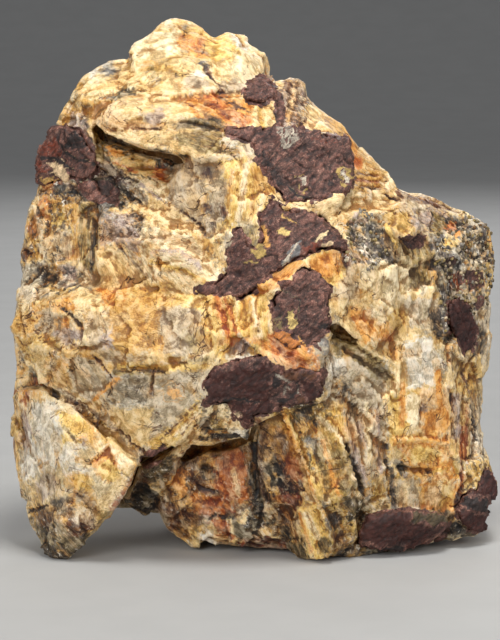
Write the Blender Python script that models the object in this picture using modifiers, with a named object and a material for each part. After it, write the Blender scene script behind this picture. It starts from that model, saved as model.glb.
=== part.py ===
import math
import random

import bmesh
import bpy
from mathutils import Matrix, Vector, noise

# A hand specimen: dark thorite masses in a broken, pale feldspar and quartz matrix.
# Lengths are in metres. The face that shows the thorite looks toward -Y and +Z is up.

# Scale of the map of the front: one step across or down is a fifth of a millimetre.
STEP = 0.0002
MAP_MIDDLE = (250.0, 320.0)
# The map is drawn along lines that slope down toward the back and meet in one point.
SIGHT_SLOPE = math.radians(8.0)
SIGHT_DISTANCE = 0.520
MAP_HEIGHT = 0.0452

MM = 0.001
GRAIN = 0.0006          # smallest feature of the joined stone
MATRIX_FACES = 6900     # triangles left in the joined stone
SWOLLEN_FACES = 11000   # triangles of the swollen copy that the thorite is cut from
GAP = 0.0003            # clearance round each thorite mass in its pocket
STAND_OUT = 0.0006      # thorite stands this far out of the matrix
WAVE = 0.0004           # height of the gentle swell of the broken faces
WAVE_LENGTH = 0.0090
CHIP = 0.0003           # height of the finer unevenness on top of it
CHIP_LENGTH = 0.0040
BACK_LEDGE = 0.0016     # height of the stepped ledges on the back
BACK_LENGTH = 0.0160
BACK_GRAIN = Vector((0.40, 0.15, 0.90))     # the way the back steps down
BACK_START = 0.004      # the ledges of the back begin here, measured from the front
BACK_FULL = 0.018       # and have their whole height from here on
RAGGED_IN = 0.22        # share by which the back corners of a block are drawn in unevenly
RAGGED_DEPTH = 7.0      # millimetres by which they differ in depth
BEFORE_FACE = -45.0     # millimetres, in front of every part of the stone
MITRE_LIMIT = 2.5       # longest reach of a corner of a grown outline
TOOL_SIZE = 0.3         # side of the block that flattens the resting spots
DOUBLES = 0.0000001     # points closer than this are one

for old in list(bpy.data.objects):
    bpy.data.objects.remove(old, do_unlink=True)

pieces = bpy.data.collections.new("thorite_specimen")
bpy.context.scene.collection.children.link(pieces)
cutters = bpy.data.collections.new("pocket_cutters")
bpy.context.scene.collection.children.link(cutters)

TO_RIGHT = Vector((1.0, 0.0, 0.0))
TO_TOP = Vector((0.0, math.sin(SIGHT_SLOPE), math.cos(SIGHT_SLOPE)))
TO_BACK = Vector((0.0, math.cos(SIGHT_SLOPE), -math.sin(SIGHT_SLOPE)))
TARGET = Vector((0.0, 0.0, MAP_HEIGHT))
EYE = TARGET - TO_BACK * SIGHT_DISTANCE


def spot(across, down, depth):
    # a place on the map, depth in millimetres, negative toward the front
    ray = TO_BACK * SIGHT_DISTANCE
    ray = ray + TO_RIGHT * (across - MAP_MIDDLE[0]) * STEP
    ray = ray + TO_TOP * (MAP_MIDDLE[1] - down) * STEP
    reach = (depth * MM - EYE.y) / ray.y
    return EYE + ray * reach


def new_object(name, mesh, collection):
    item = bpy.data.objects.new(name, mesh)
    collection.objects.link(item)
    return item


def baked(item):
    # the object's shape with its modifiers applied, as a mesh of its own
    graph = bpy.context.evaluated_depsgraph_get()
    mesh = bpy.data.meshes.new_from_object(item.evaluated_get(graph))
    work = bmesh.new()
    work.from_mesh(mesh)
    bmesh.ops.remove_doubles(work, verts=work.verts, dist=DOUBLES)
    work.to_mesh(mesh)
    work.free()
    return mesh


def settle(item):
    mesh = baked(item)
    item.modifiers.clear()
    item.data = mesh


def hull_mesh(name, points):
    work = bmesh.new()
    for point in points:
        work.verts.new(point)
    bmesh.ops.convex_hull(work, input=work.verts)
    loose = [v for v in work.verts if not v.link_faces]
    bmesh.ops.delete(work, geom=loose, context="VERTS")
    bmesh.ops.recalc_face_normals(work, faces=work.faces)
    mesh = bpy.data.meshes.new(name)
    work.to_mesh(mesh)
    work.free()
    return mesh


def block(corners, back, taper=0.8, rise=0.0):
    # a broken block: its corners on the map, and a ragged, drawn-in outline at the back
    front = [spot(*corner) for corner in corners]
    middle = sum(front, Vector()) / len(front)
    chance = random.Random(int(middle.x * 1e5) * 31 + int(middle.z * 1e5))
    points = list(front)
    for point in front:
        draw_in = taper - chance.random() * RAGGED_IN
        depth = back - chance.random() * RAGGED_DEPTH
        x = middle.x + (point.x - middle.x) * draw_in
        z = middle.z + (point.z - middle.z) * draw_in + rise * MM
        points.append(Vector((x, depth * MM, z)))
    return points


def slab(corners):
    # a block with every corner given on the map
    return [spot(*corner) for corner in corners]


def lump(corners):
    # a block at the back, its corners given in millimetres
    return [Vector(corner) * MM for corner in corners]


# Front of the matrix, from the peak down. Each block is a run of corners and its depth.
FRONT = [
    # peak, its pale right shoulder and the bump and rim on the left
    block([(163, 23, 8), (175, 17, 11), (187, 20, 11), (205, 32, 10), (216, 40, 8),
           (141, 44, 4), (129, 52, 3), (131, 64, 0), (150, 94, -8), (212, 94, -8),
           (205, 60, -1), (168, 46, 1)], 24, 0.75),
    block([(214, 40, 9), (225, 32, 10), (246, 42, 11), (259, 51, 10), (263, 62, 8),
           (266, 76, 6), (264, 90, 3), (244, 92, -4), (216, 94, -6), (212, 62, 0),
           (240, 58, 2)], 24, 0.8),
    block([(80, 82, 2), (90, 72, 3), (103, 65, 5), (108, 62, 6), (118, 68, 5),
           (131, 62, 4), (150, 72, -2), (150, 98, -8), (110, 99, -8), (80, 104, -5),
           (66, 111, -1)], 20, 0.8),
    block([(80, 84, 2), (66, 110, 0), (60, 120, -1), (57, 139, -1), (70, 140, -7),
           (94, 126, -8), (100, 103, -6)], 18, 0.8),
    # long ledge over the dark slots
    slab([(92, 122, -9), (98, 109, -10), (120, 99, -9), (165, 98, -9), (150, 112, -14),
          (104, 137, -12), (118, 143, -13), (156, 151, -15), (180, 157, -17),
          (200, 118, -15), (190, 99, -9), (110, 112, 6), (190, 108, 6), (180, 136, 4),
          (120, 124, 4)]),
    slab([(165, 98, -9), (215, 96, -8), (262, 98, -7), (272, 128, -13), (262, 137, -15),
          (235, 128, -16), (180, 116, -15), (182, 157, -17), (225, 162, -18.5),
          (262, 158, -17), (180, 108, 6), (260, 110, 6), (255, 150, 4), (200, 145, 4)]),
    # floor of the slots
    block([(96, 140, -5), (178, 163, -8), (182, 196, -16), (170, 207, -16),
           (128, 198, -10), (112, 176, -9), (96, 162, -5)], 8),
    block([(92, 160, -5), (120, 165, -6), (135, 195, -8), (126, 215, -10),
           (96, 215, -8), (90, 190, -6)], 8),
    block([(76, 182, -5), (98, 180, -7), (106, 204, -9), (97, 218, -9.5),
           (88, 218, -8.5), (78, 208, -7)], 8),
    block([(84, 208, -7), (99, 210, -9.5), (99, 250, -9.5), (94, 262, -9),
           (86, 250, -8)], 8),
    # smooth beige slab and the fibrous plate right of it
    block([(172, 174, -15), (183, 160, -16), (236, 158, -18), (239, 214, -21),
           (206, 233, -20), (170, 212, -17), (167, 190, -15)], 6),
    block([(222, 160, -18), (258, 150, -17), (263, 166, -17), (277, 200, -19),
           (267, 232, -21), (238, 242, -22), (222, 226, -21), (233, 190, -21)], 6),
    # sloping bands below the slots, then the arched plates
    block([(128, 197, -9), (172, 206, -16), (206, 232, -19), (186, 241, -19),
           (145, 229, -17), (100, 213, -12), (108, 201, -9)], 6),
    block([(99, 214, -12), (146, 227, -17), (180, 237, -19), (206, 262, -20.5),
           (222, 286, -21.5), (200, 292, -20.5), (150, 294, -18), (98, 294, -14),
           (96, 250, -12)], 6),
    block([(150, 246, -18.5), (182, 250, -21), (202, 268, -22), (214, 289, -23),
           (165, 293, -20), (140, 275, -18)], 2),
    block([(186, 238, -19), (215, 227, -20.5), (238, 241, -21.5), (228, 275, -22),
           (222, 291, -22.5), (206, 264, -20.5)], 2),
    # granular left side and the dark left corner above it
    block([(32, 200, -1), (42, 192, -3), (93, 200, -8), (95, 250, -10), (95, 290, -12),
           (60, 291, -9), (20, 287, -3), (19, 262, -1), (28, 225, -1)], 18),
    block([(39, 183, -1), (41, 162, -1), (44, 149, -3), (58, 141, -4), (60, 120, -1),
           (80, 118, -6), (95, 134, -9), (98, 166, -8), (90, 190, -8), (36, 194, -1)],
          18),
    # nose: a ledge that juts out to the left and toward the front
    block([(8, 328, -9), (12, 303, -7), (15, 287, -5), (60, 287, -10), (100, 287, -14),
           (60, 303, -15), (100, 301, -19), (110, 345, -22), (60, 350, -17.5),
           (25, 365, -9), (14, 342, -8)], 14, 0.85),
    block([(60, 287, -11), (100, 286, -15), (160, 289, -18.5), (216, 296, -22),
           (98, 301, -19), (160, 304, -22.5), (216, 312, -25.5), (216, 335, -26.5),
           (206, 353, -26.5), (160, 353, -25.5), (110, 346, -23)], 6),
    block([(25, 365, -9), (60, 348, -17), (108, 348, -22), (112, 372, -21),
           (98, 398, -17), (75, 402, -14), (45, 386, -11)], 10),
    # broad facet under the nose
    block([(106, 368, -21.5), (112, 350, -22.5), (160, 354, -26), (208, 352, -27),
           (212, 385, -27), (205, 410, -26), (188, 436, -24), (150, 462, -21),
           (143, 461, -20), (100, 425, -15), (78, 402, -13), (100, 395, -17),
           (150, 400, -24)], 6),
    # lower left block and its foot
    block([(14, 398, -7), (25, 387, -9), (48, 390, -13), (75, 406, -17),
           (100, 430, -20.5), (140, 466, -24), (122, 498, -22), (100, 527, -18),
           (66, 559, -17), (54, 559, -16), (60, 559, -11), (47, 551, -11),
           (26, 520, -8), (18, 480, -6), (8, 432, -4),
           (70, 440, -20), (60, 500, -19)], 12, 0.85),
    # lip over the brown recess, the recess and the strip left of it
    block([(205, 400, -26), (250, 410, -26), (251, 428, -24), (245, 444, -22),
           (205, 446, -21), (180, 446, -21), (190, 425, -24)], 2, 0.7, 3),
    block([(165, 470, -11), (205, 450, -12), (250, 446, -13), (256, 500, -14),
           (266, 545, -13), (212, 543, -11), (165, 527, -8), (152, 503, -5)], 14),
    block([(166, 456, -19), (190, 442, -21), (168, 482, -12), (136, 494, -9),
           (121, 500, -7), (146, 520, -5), (142, 468, -15)], 14),
    block([(165, 526, -7), (190, 544, -8), (197, 552, -9), (203, 544, -9),
           (214, 525, -12), (180, 518, -9)], 14),
    block([(200, 540, -10), (210, 547, -10), (215, 550, -10), (222, 545, -10),
           (225, 528, -13), (206, 524, -12)], 14),
    block([(220, 545, -9), (235, 548, -9), (270, 547, -10), (286, 550, -11),
           (290, 520, -16), (262, 508, -16), (226, 520, -12)], 16),
    # stone in the dark groove left of the blades and under the first of them
    block([(246, 440, -14.5), (264, 440, -15.5), (282, 500, -16.5), (298, 520, -17),
           (292, 540, -15), (264, 540, -13.5), (246, 500, -13)], 6),
    # blades that run down to the right
    block([(257, 420, -19), (284, 411, -22), (301, 455, -22), (318, 505, -21),
           (300, 512, -18), (271, 505, -17), (256, 470, -17), (253, 440, -17)], 4),
    block([(286, 411, -23), (302, 401, -22), (346, 400, -20), (352, 440, -20),
           (357, 478, -21), (345, 500, -20), (326, 512, -21), (303, 455, -19)], 4),
    block([(276, 413, -22), (287, 411, -24), (331, 520, -23), (337, 545, -21),
           (328, 548, -20), (300, 480, -21)], 6),
    block([(298, 507, -20), (318, 500, -22), (336, 545, -21), (330, 560, -19.5),
           (318, 562, -19.5), (308, 556, -18), (291, 525, -17)], 12),
    block([(322, 500, -20), (352, 494, -19), (358, 530, -17), (352, 548, -15),
           (336, 556, -17), (330, 530, -20)], 12),
    block([(284, 548, -12), (300, 560, -17), (311, 558, -17), (319, 561, -18.5),
           (300, 530, -17), (278, 528, -14)], 16),
    block([(345, 398, -18), (386, 394, -15), (391, 440, -14), (388, 500, -13),
           (366, 520, -14), (352, 500, -17), (359, 478, -18), (351, 440, -18)], 8),
    # middle of the face, round the thorite
    block([(215, 295, -22), (262, 281, -24), (302, 261, -24), (330, 287, -24),
           (328, 345, -25), (318, 370, -26), (265, 359, -27), (212, 361, -27),
           (214, 330, -27)], 2),
    block([(205, 386, -26), (212, 357, -27), (265, 356, -28), (320, 366, -26),
           (323, 400, -24), (280, 413, -24), (246, 428, -25), (205, 406, -26)], 2),
    block([(221, 291, -22), (237, 236, -22), (268, 199, -20), (305, 211, -20),
           (346, 246, -21), (330, 289, -23), (300, 263, -24), (262, 283, -24)], 2),
    block([(256, 134, -15), (305, 131, -14), (347, 139, -12), (351, 182, -15),
           (330, 216, -18), (288, 211, -19), (262, 168, -17)], 6),
    # stone behind the foot of the peak
    block([(204, 84, -2.5), (246, 86, -3), (246, 98, -5.5), (206, 99, -6.5)], 10),
    # upper right edge
    block([(244, 92, -3), (262, 85, 0), (273, 96, 1), (281, 91, 2), (296, 80, 5),
           (304, 85, 5), (309, 100, 3), (310, 131, -11), (270, 133, -13),
           (254, 100, -7)], 18),
    block([(304, 95, 2), (318, 108, 3), (341, 125, 3), (353, 142, 2), (348, 162, -9),
           (330, 141, -11), (300, 131, -11)], 18),
    block([(345, 140, 0), (357, 158, 1), (364, 166, 0), (388, 173, 0), (395, 186, -1),
           (385, 197, -6), (352, 197, -12), (345, 175, -10)], 18),
    # right shoulder, mottled patch and the yellow lump
    block([(344, 190, -12), (392, 190, -2), (440, 202, 5), (474, 219, 8),
           (483, 224, 9), (430, 236, -3), (395, 241, -9), (350, 236, -17),
           (324, 215, -18)], 20),
    block([(324, 215, -18), (352, 211, -16), (392, 210, -11), (396, 245, -12),
           (392, 263, -13), (350, 263, -19), (334, 246, -20)], 6),
    block([(384, 208, -9), (405, 205, -9), (419, 217, -9), (421, 232, -9),
           (408, 241, -12), (392, 233, -14), (382, 220, -13)], 2),
    # right half of the body
    block([(334, 246, -20.5), (352, 263, -20), (396, 264, -14), (402, 300, -13),
           (396, 334, -15), (372, 350, -19), (330, 322, -24), (328, 285, -23)], 4),
    block([(320, 334, -23), (372, 350, -18), (397, 366, -14), (393, 396, -13),
           (345, 398, -18), (320, 374, -24)], 4),
    block([(314, 366, -24), (350, 380, -18), (352, 412, -18), (316, 414, -20)], 4),
    block([(372, 332, -17), (392, 334, -13.5), (396, 362, -13.5), (378, 362, -16.5)], 4),
    block([(436, 345, -8), (450, 345, -6), (452, 394, -6), (438, 394, -8.5)], 8),
    block([(392, 300, -12), (445, 262, -5), (451, 300, -5), (449, 345, -6),
           (440, 386, -9), (395, 396, -13), (390, 350, -14)], 10),
    block([(395, 240, -9), (432, 235, -4), (445, 262, -5), (447, 300, -6),
           (400, 302, -12), (392, 262, -12)], 8),
    block([(430, 235, -4), (482, 223, 7), (490, 230, 8), (488, 248, 6), (493, 270, 7),
           (491, 300, 6), (487, 345, 5), (480, 374, 4), (478, 396, 3), (450, 396, -5),
           (447, 340, -6), (440, 262, -5)], 22),
    block([(385, 394, -15), (396, 380, -14), (442, 385, -9), (453, 395, -6),
           (478, 394, 3), (478, 420, 2), (480, 446, 1), (470, 470, -4), (462, 500, -6),
           (455, 523, -6), (390, 521, -13), (385, 470, -15), (396, 430, -15)], 22),
    block([(455, 440, -4), (480, 444, 1), (484, 463, 0), (492, 471, -1), (498, 486, -2),
           (496, 497, -2), (484, 501, -3), (462, 505, -7), (455, 480, -7)], 14),
    block([(460, 495, -7), (485, 499, -3), (485, 528, -3), (475, 536, -4),
           (450, 540, -6), (444, 520, -9)], 18),
    block([(352, 505, -15), (390, 515, -13), (440, 518, -8), (456, 525, -6),
           (440, 540, -5), (400, 545, -8), (370, 546, -11), (345, 536, -14)], 22),
    block([(340, 557, -14), (330, 560, -17), (345, 545, -15), (370, 545, -13),
           (372, 557, -12), (385, 558, -11), (395, 550, -10), (402, 545, -9)], 18),
    # swellings that the thorite makes at the top, the foot and the right corner
    block([(243, 97, -4), (250, 88, -3), (262, 83, 0), (271, 91, -1), (274, 102, -6),
           (262, 107, -8), (246, 105, -7)], 14, 0.9),
    block([(363, 538, -16), (372, 519, -17), (395, 514, -16), (440, 516, -12),
           (452, 522, -10), (446, 532, -9), (430, 547, -10), (405, 549, -12),
           (385, 547, -14), (366, 544, -15)], 4, 0.9),
    block([(461, 500, -7), (480, 497, -6), (486, 503, -4), (486, 527, -4),
           (474, 534, -5), (460, 520, -8)], 12, 0.9),
    block([(480, 490, -5), (488, 476, -3), (497, 482, -2), (498, 490, -2),
           (495, 498, -2), (484, 502, -4)], 10, 0.9),
]

# Middle and back of the matrix.
BACK = [
    block([(110, 215, -9), (170, 195, -14), (225, 160, -15), (300, 150, -13),
           (345, 165, -9), (345, 240, -14), (330, 400, -18), (250, 412, -20),
           (205, 400, -20), (120, 350, -15), (190, 250, -18), (240, 290, -19)], 12),
    block([(325, 160, -8), (345, 230, -13), (395, 245, -8), (445, 265, -2),
           (448, 390, -2), (392, 400, -11), (335, 400, -16), (330, 300, -18)], 14),
    block([(165, 440, -6), (250, 430, -10), (340, 400, -13), (400, 395, -9),
           (450, 400, -2), (452, 515, -3), (350, 530, -8), (250, 530, -7),
           (170, 500, -3)], 14),
    block([(78, 130, 4), (112, 92, 4), (165, 52, 10), (215, 60, 10), (258, 92, 4),
           (300, 120, 4), (345, 172, 2), (390, 206, 2), (460, 242, 4), (466, 480, 4),
           (440, 522, 4), (370, 532, 0), (290, 530, -2), (190, 512, 2), (120, 496, 2),
           (50, 500, 2), (38, 430, 2), (38, 350, 2), (48, 220, 4)], 22, 0.88),
    lump([(-33, 8, 80), (-25, 24, 84), (-14, 20, 97), (0, 24, 86), (10, 31, 66),
          (4, 33, 46), (-28, 24, 58), (-37, 14, 60), (-18, 8, 98)]),
    lump([(2, 26, 84), (8, 18, 90), (18, 20, 72), (40, 16, 57), (38, 26, 50),
          (14, 33, 56), (8, 32, 40), (44, 22, 34), (22, 8, 76)]),
    lump([(-40, 12, 58), (-28, 24, 62), (2, 33, 50), (4, 32, 22), (-18, 28, 12),
          (-38, 14, 16), (-43, 4, 38), (-30, 0, 30)]),
    lump([(2, 33, 50), (16, 33, 56), (44, 23, 40), (46, 16, 18), (34, 22, 8),
          (8, 30, 14), (0, 20, 30), (46, 4, 40)]),
    lump([(-24, 20, 14), (-16, 26, 12), (8, 29, 14), (34, 21, 9), (38, 6, 7),
          (22, 2, 3), (22, 17, -0.4), (8, 22, -0.4), (-12, 19, -0.4), (10, 12, -0.4),
          (-10, 6, 4), (-26, 6, 12)]),
    lump([(-40, 10, 30), (-24, 18, 22), (-28, 4, 8), (-40, -6, 6), (-42, 0, 20)]),
    block([(152, 62, 9), (176, 40, 14), (215, 48, 14), (250, 62, 12), (262, 92, 8),
           (140, 92, 5)], 25, 0.75),
    # left and right sides behind the front blocks
    block([(52, 142, 3), (62, 116, 3), (84, 92, 4), (36, 200, 3), (25, 260, 2),
           (17, 300, 1), (24, 360, 0), (15, 400, 0), (14, 430, 0), (24, 500, 0),
           (120, 500, 4), (130, 110, 4)], 20, 0.9),
    block([(262, 76, 8), (298, 104, 6), (338, 148, 5), (358, 170, 5), (372, 188, 4),
           (340, 300, 4), (270, 200, 4)], 22, 0.93),
    block([(340, 192, 3), (388, 197, 4), (436, 206, 8), (476, 227, 10), (486, 262, 9),
           (484, 340, 8), (474, 380, 6), (474, 440, 5), (478, 520, 2), (300, 300, 4)],
          22, 0.93),
]

# The broken faces of the back and the under side trim the blocks to this shape.
ENVELOPE = lump([
    (-70, -45, -20), (70, -45, -20), (-70, -45, 130), (70, -45, 130),
    (-52, 2, -20), (-54, 4, 60), (-46, 6, 94), (-24, 14, 113), (3, 19, 111),
    (18, 12, 103), (58, 16, 70), (57, 18, 22), (54, 8, -20), (24, 20, -4),
    (-15, 21, -4), (-34, 6, -10), (-19, 30, 24), (-15, 31, 56), (-4, 29, 82),
    (15, 33, 55), (27, 31, 24), (5, 32, 14)])

# The thorite masses: name, run of corners round the outline, depth of the front face
# that the outline lies on, and how deep the back of the mass goes in.
MASSES = [
    ("thorite_upper", [
        (228, 131), (240, 133), (262, 132), (275, 130), (305, 133), (318, 138),
        (345, 141), (349, 155), (351, 180), (345, 190), (325, 198), (300, 202),
        (286, 202), (278, 190), (269, 178), (262, 165), (256, 155), (257, 146),
        (245, 141), (228, 136)], -15, -8),
    ("thorite_branching", [
        (270, 201), (278, 207), (285, 214), (305, 215), (322, 223), (336, 234),
        (343, 249), (330, 246), (315, 248), (300, 255), (287, 260), (274, 270),
        (262, 281), (246, 290), (235, 296), (221, 294), (200, 292), (200, 288),
        (216, 285), (228, 275), (230, 262), (227, 248), (235, 240), (237, 229),
        (241, 229), (244, 239), (249, 252), (260, 247), (265, 240), (262, 225),
        (259, 216), (268, 211)], -20.5, -14),
    ("thorite_middle", [
        (304, 268), (315, 276), (327, 288), (325, 330), (318, 341), (305, 345),
        (290, 345), (276, 335), (273, 310), (281, 290), (293, 282)], -24, -17),
    ("thorite_lower", [
        (215, 370), (240, 362), (265, 358), (285, 375), (304, 371), (319, 372),
        (320, 390), (310, 400), (280, 405), (272, 411), (250, 415), (248, 425),
        (235, 412), (230, 400), (206, 402), (210, 392), (205, 385)], -27, -19),
    ("thorite_foot", [
        (363, 536), (371, 519), (395, 515), (420, 516), (440, 518), (452, 521),
        (448, 534), (432, 552), (405, 553), (385, 550), (364, 546)], -14, -6),
    ("thorite_right", [
        (448, 304), (460, 301), (469, 310), (475, 330), (472, 348), (462, 351),
        (457, 335), (449, 322)], -3, 4),
    ("thorite_left", [
        (30, 150), (52, 130), (66, 129), (80, 134), (87, 148), (96, 160), (97, 172),
        (88, 178), (72, 177), (58, 181), (30, 181)], -6, -1),
    ("thorite_top", [
        (243, 97), (250, 88), (262, 76), (272, 88), (273, 100), (262, 104),
        (248, 103)], -3, 3),
    ("thorite_corner", [
        (486, 472), (506, 472), (506, 502), (494, 506), (494, 532), (470, 530),
        (462, 514), (465, 499), (480, 494)], -4, 2),
]


def cut(target, tool, operation):
    step = target.modifiers.new("cut", "BOOLEAN")
    step.operation = operation
    step.solver = "EXACT"
    step.object = tool
    settle(target)


def fuse(item):
    # one closed skin round everything in the mesh
    remesh = item.modifiers.new("join", "REMESH")
    remesh.mode = "VOXEL"
    remesh.voxel_size = GRAIN
    settle(item)


def joined_stone():
    work = bmesh.new()
    for points in FRONT + BACK:
        mesh = hull_mesh("block", points)
        work.from_mesh(mesh)
        bpy.data.meshes.remove(mesh)
    mesh = bpy.data.meshes.new("matrix")
    work.to_mesh(mesh)
    work.free()
    stone = new_object("matrix", mesh, pieces)
    fuse(stone)
    envelope = new_object("envelope", hull_mesh("envelope", ENVELOPE), cutters)
    envelope.hide_render = True
    envelope.display_type = "WIRE"
    cut(stone, envelope, "INTERSECT")
    bpy.data.objects.remove(envelope, do_unlink=True)
    fuse(stone)
    return stone


def break_up(stone):
    # gentle swell and finer unevenness of the broken faces
    mesh = stone.data
    normals = [v.normal.copy() for v in mesh.vertices]
    for vertex, normal in zip(mesh.vertices, normals):
        place = vertex.co
        swell = noise.noise(place / WAVE_LENGTH + Vector((3.1, 0.4, 7.7)))
        fine = noise.noise(place / CHIP_LENGTH + Vector((1.7, 8.2, 2.9)))
        rough = noise.noise(place / BACK_LENGTH + Vector((5.5, 1.3, 0.8)))
        far = min(max((place.y - BACK_START) / (BACK_FULL - BACK_START), 0.0), 1.0)
        along = place.dot(BACK_GRAIN) / BACK_LENGTH + rough * 0.7
        ledge = (along - math.floor(along) - 0.5) * BACK_LEDGE
        move = swell * WAVE + fine * CHIP + (ledge + rough * BACK_LEDGE) * far
        vertex.co = place + normal * move


def thinned(stone, faces):
    mesh = stone.data
    triangles = sum(len(p.vertices) - 2 for p in mesh.polygons)
    thin = stone.modifiers.new("thin", "DECIMATE")
    thin.decimate_type = "COLLAPSE"
    thin.ratio = faces / triangles
    thin.use_collapse_triangulate = True
    settle(stone)


def grown(outline, by):
    # the outline moved outward by a distance, its sharp corners held short
    count = len(outline)
    turn = sum(outline[i - 1].x * outline[i].y - outline[i].x * outline[i - 1].y
               for i in range(count))
    side = 1.0 if turn > 0 else -1.0
    result = []
    for i in range(count):
        before = (outline[i] - outline[i - 1]).normalized()
        after = (outline[(i + 1) % count] - outline[i]).normalized()
        first = Vector((before.y, -before.x)) * side
        second = Vector((after.y, -after.x)) * side
        lean = (first + second).normalized()
        stretch = min(1.0 / max(lean.dot(first), 1.0 / MITRE_LIMIT), MITRE_LIMIT)
        result.append(outline[i] + lean * by * stretch)
    return result


def prism(name, outline, face, back, by, collection):
    # a column along the line of sight, its outline true at the depth of the face
    reach = (SIGHT_DISTANCE + face * MM) / SIGHT_DISTANCE
    flat = [Vector(((a - MAP_MIDDLE[0]) * STEP * reach, (MAP_MIDDLE[1] - d) * STEP * reach))
            for a, d in outline]
    flat = grown(flat, by)
    curve = bpy.data.curves.new(name, "CURVE")
    curve.dimensions = "2D"
    curve.fill_mode = "BOTH"
    front_end = BEFORE_FACE * MM
    back_end = back * MM + by
    curve.extrude = (back_end - front_end) / 2
    line = curve.splines.new("POLY")
    line.points.add(len(flat) - 1)
    for point, place in zip(line.points, flat):
        point.co = (place.x, place.y, 0.0, 1.0)
    line.use_cyclic_u = True
    item = new_object(name + "_outline", curve, cutters)
    turn = Matrix((TO_RIGHT, TO_TOP, -TO_BACK)).transposed().to_4x4()
    centre = EYE + TO_BACK * (SIGHT_DISTANCE + (back_end + front_end) / 2)
    item.matrix_world = Matrix.Translation(centre) @ turn
    bpy.context.view_layer.update()
    mesh = baked(item)
    mesh.transform(item.matrix_world)
    bpy.data.objects.remove(item, do_unlink=True)
    work = bmesh.new()
    work.from_mesh(mesh)
    bmesh.ops.recalc_face_normals(work, faces=work.faces)
    work.to_mesh(mesh)
    work.free()
    column = new_object(name + "_column", mesh, cutters)
    column.hide_render = True
    column.display_type = "WIRE"
    return column


def largest_body(item):
    # drops any loose crumb that a cut leaves
    work = bmesh.new()
    work.from_mesh(item.data)
    left = set(work.verts)
    bodies = []
    while left:
        stack = [left.pop()]
        body = set(stack)
        while stack:
            for edge in stack.pop().link_edges:
                for vertex in edge.verts:
                    if vertex not in body:
                        body.add(vertex)
                        stack.append(vertex)
        left -= body
        bodies.append(body)
    bodies.sort(key=len)
    for body in bodies[:-1]:
        bmesh.ops.delete(work, geom=list(body), context="VERTS")
    bmesh.ops.triangulate(work, faces=work.faces)
    work.to_mesh(item.data)
    work.free()


def table_cut(item):
    # flattens the spots that touch the table
    work = bmesh.new()
    bmesh.ops.create_cube(work, size=TOOL_SIZE)
    bmesh.ops.translate(work, verts=work.verts, vec=(0.0, 0.0, -TOOL_SIZE / 2))
    mesh = bpy.data.meshes.new("table_cut")
    work.to_mesh(mesh)
    work.free()
    tool = new_object("table_cut", mesh, cutters)
    tool.hide_render = True
    tool.display_type = "WIRE"
    cut(item, tool, "DIFFERENCE")
    bpy.data.objects.remove(tool, do_unlink=True)


def paint(item, name, colour, roughness):
    material = bpy.data.materials.new(name)
    material.use_nodes = True
    shader = material.node_tree.nodes["Principled BSDF"]
    shader.inputs["Base Color"].default_value = colour
    shader.inputs["Roughness"].default_value = roughness
    item.data.materials.clear()
    item.data.materials.append(material)


def swollen_copy(stone):
    # the same stone grown outward all round, with every crease closed cleanly
    mesh = stone.data.copy()
    normals = [v.normal.copy() for v in mesh.vertices]
    for vertex, normal in zip(mesh.vertices, normals):
        vertex.co = vertex.co + normal * STAND_OUT
    item = new_object("swollen", mesh, cutters)
    fuse(item)
    thinned(item, SWOLLEN_FACES)
    return item


# colours and roughness of the two minerals
STONE_LOOK = ((0.62, 0.50, 0.31, 1.0), 0.6)
THORITE_LOOK = ((0.085, 0.030, 0.028, 1.0), 0.7)

matrix = joined_stone()
break_up(matrix)
swollen_stone = swollen_copy(matrix)
swollen = swollen_stone.data.copy()
bpy.data.objects.remove(swollen_stone, do_unlink=True)
thinned(matrix, MATRIX_FACES)
table_cut(matrix)
largest_body(matrix)

# the thorite stands a little proud, so it is cut from the swollen copy
masses = []
for name, outline, face, back in MASSES:
    mass = new_object(name, swollen.copy(), pieces)
    column = prism(name, outline, face, back, 0.0, cutters)
    cut(mass, column, "INTERSECT")
    largest_body(mass)
    pocket = prism(name + "_pocket", outline, face, back, GAP, cutters)
    cut(matrix, pocket, "DIFFERENCE")
    bpy.data.objects.remove(column, do_unlink=True)
    bpy.data.objects.remove(pocket, do_unlink=True)
    masses.append(mass)
largest_body(matrix)

# the origin lies under the middle of the specimen, on the table
corners = [v.co for item in [matrix] + masses for v in item.data.vertices]
low = Vector([min(c[i] for c in corners) for i in range(3)])
high = Vector([max(c[i] for c in corners) for i in range(3)])
SHIFTED = Vector((-(low.x + high.x) / 2, -(low.y + high.y) / 2, -low.z))
for item in [matrix] + masses:
    item.data.transform(Matrix.Translation(SHIFTED))

paint(matrix, "iron stained feldspar", *STONE_LOOK)
for mass in masses:
    paint(mass, mass.name.replace("_", " "), *THORITE_LOOK)
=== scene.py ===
import math
import random

import bmesh
import bpy
import numpy as np
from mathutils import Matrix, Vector
from mathutils.bvhtree import BVHTree


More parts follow.
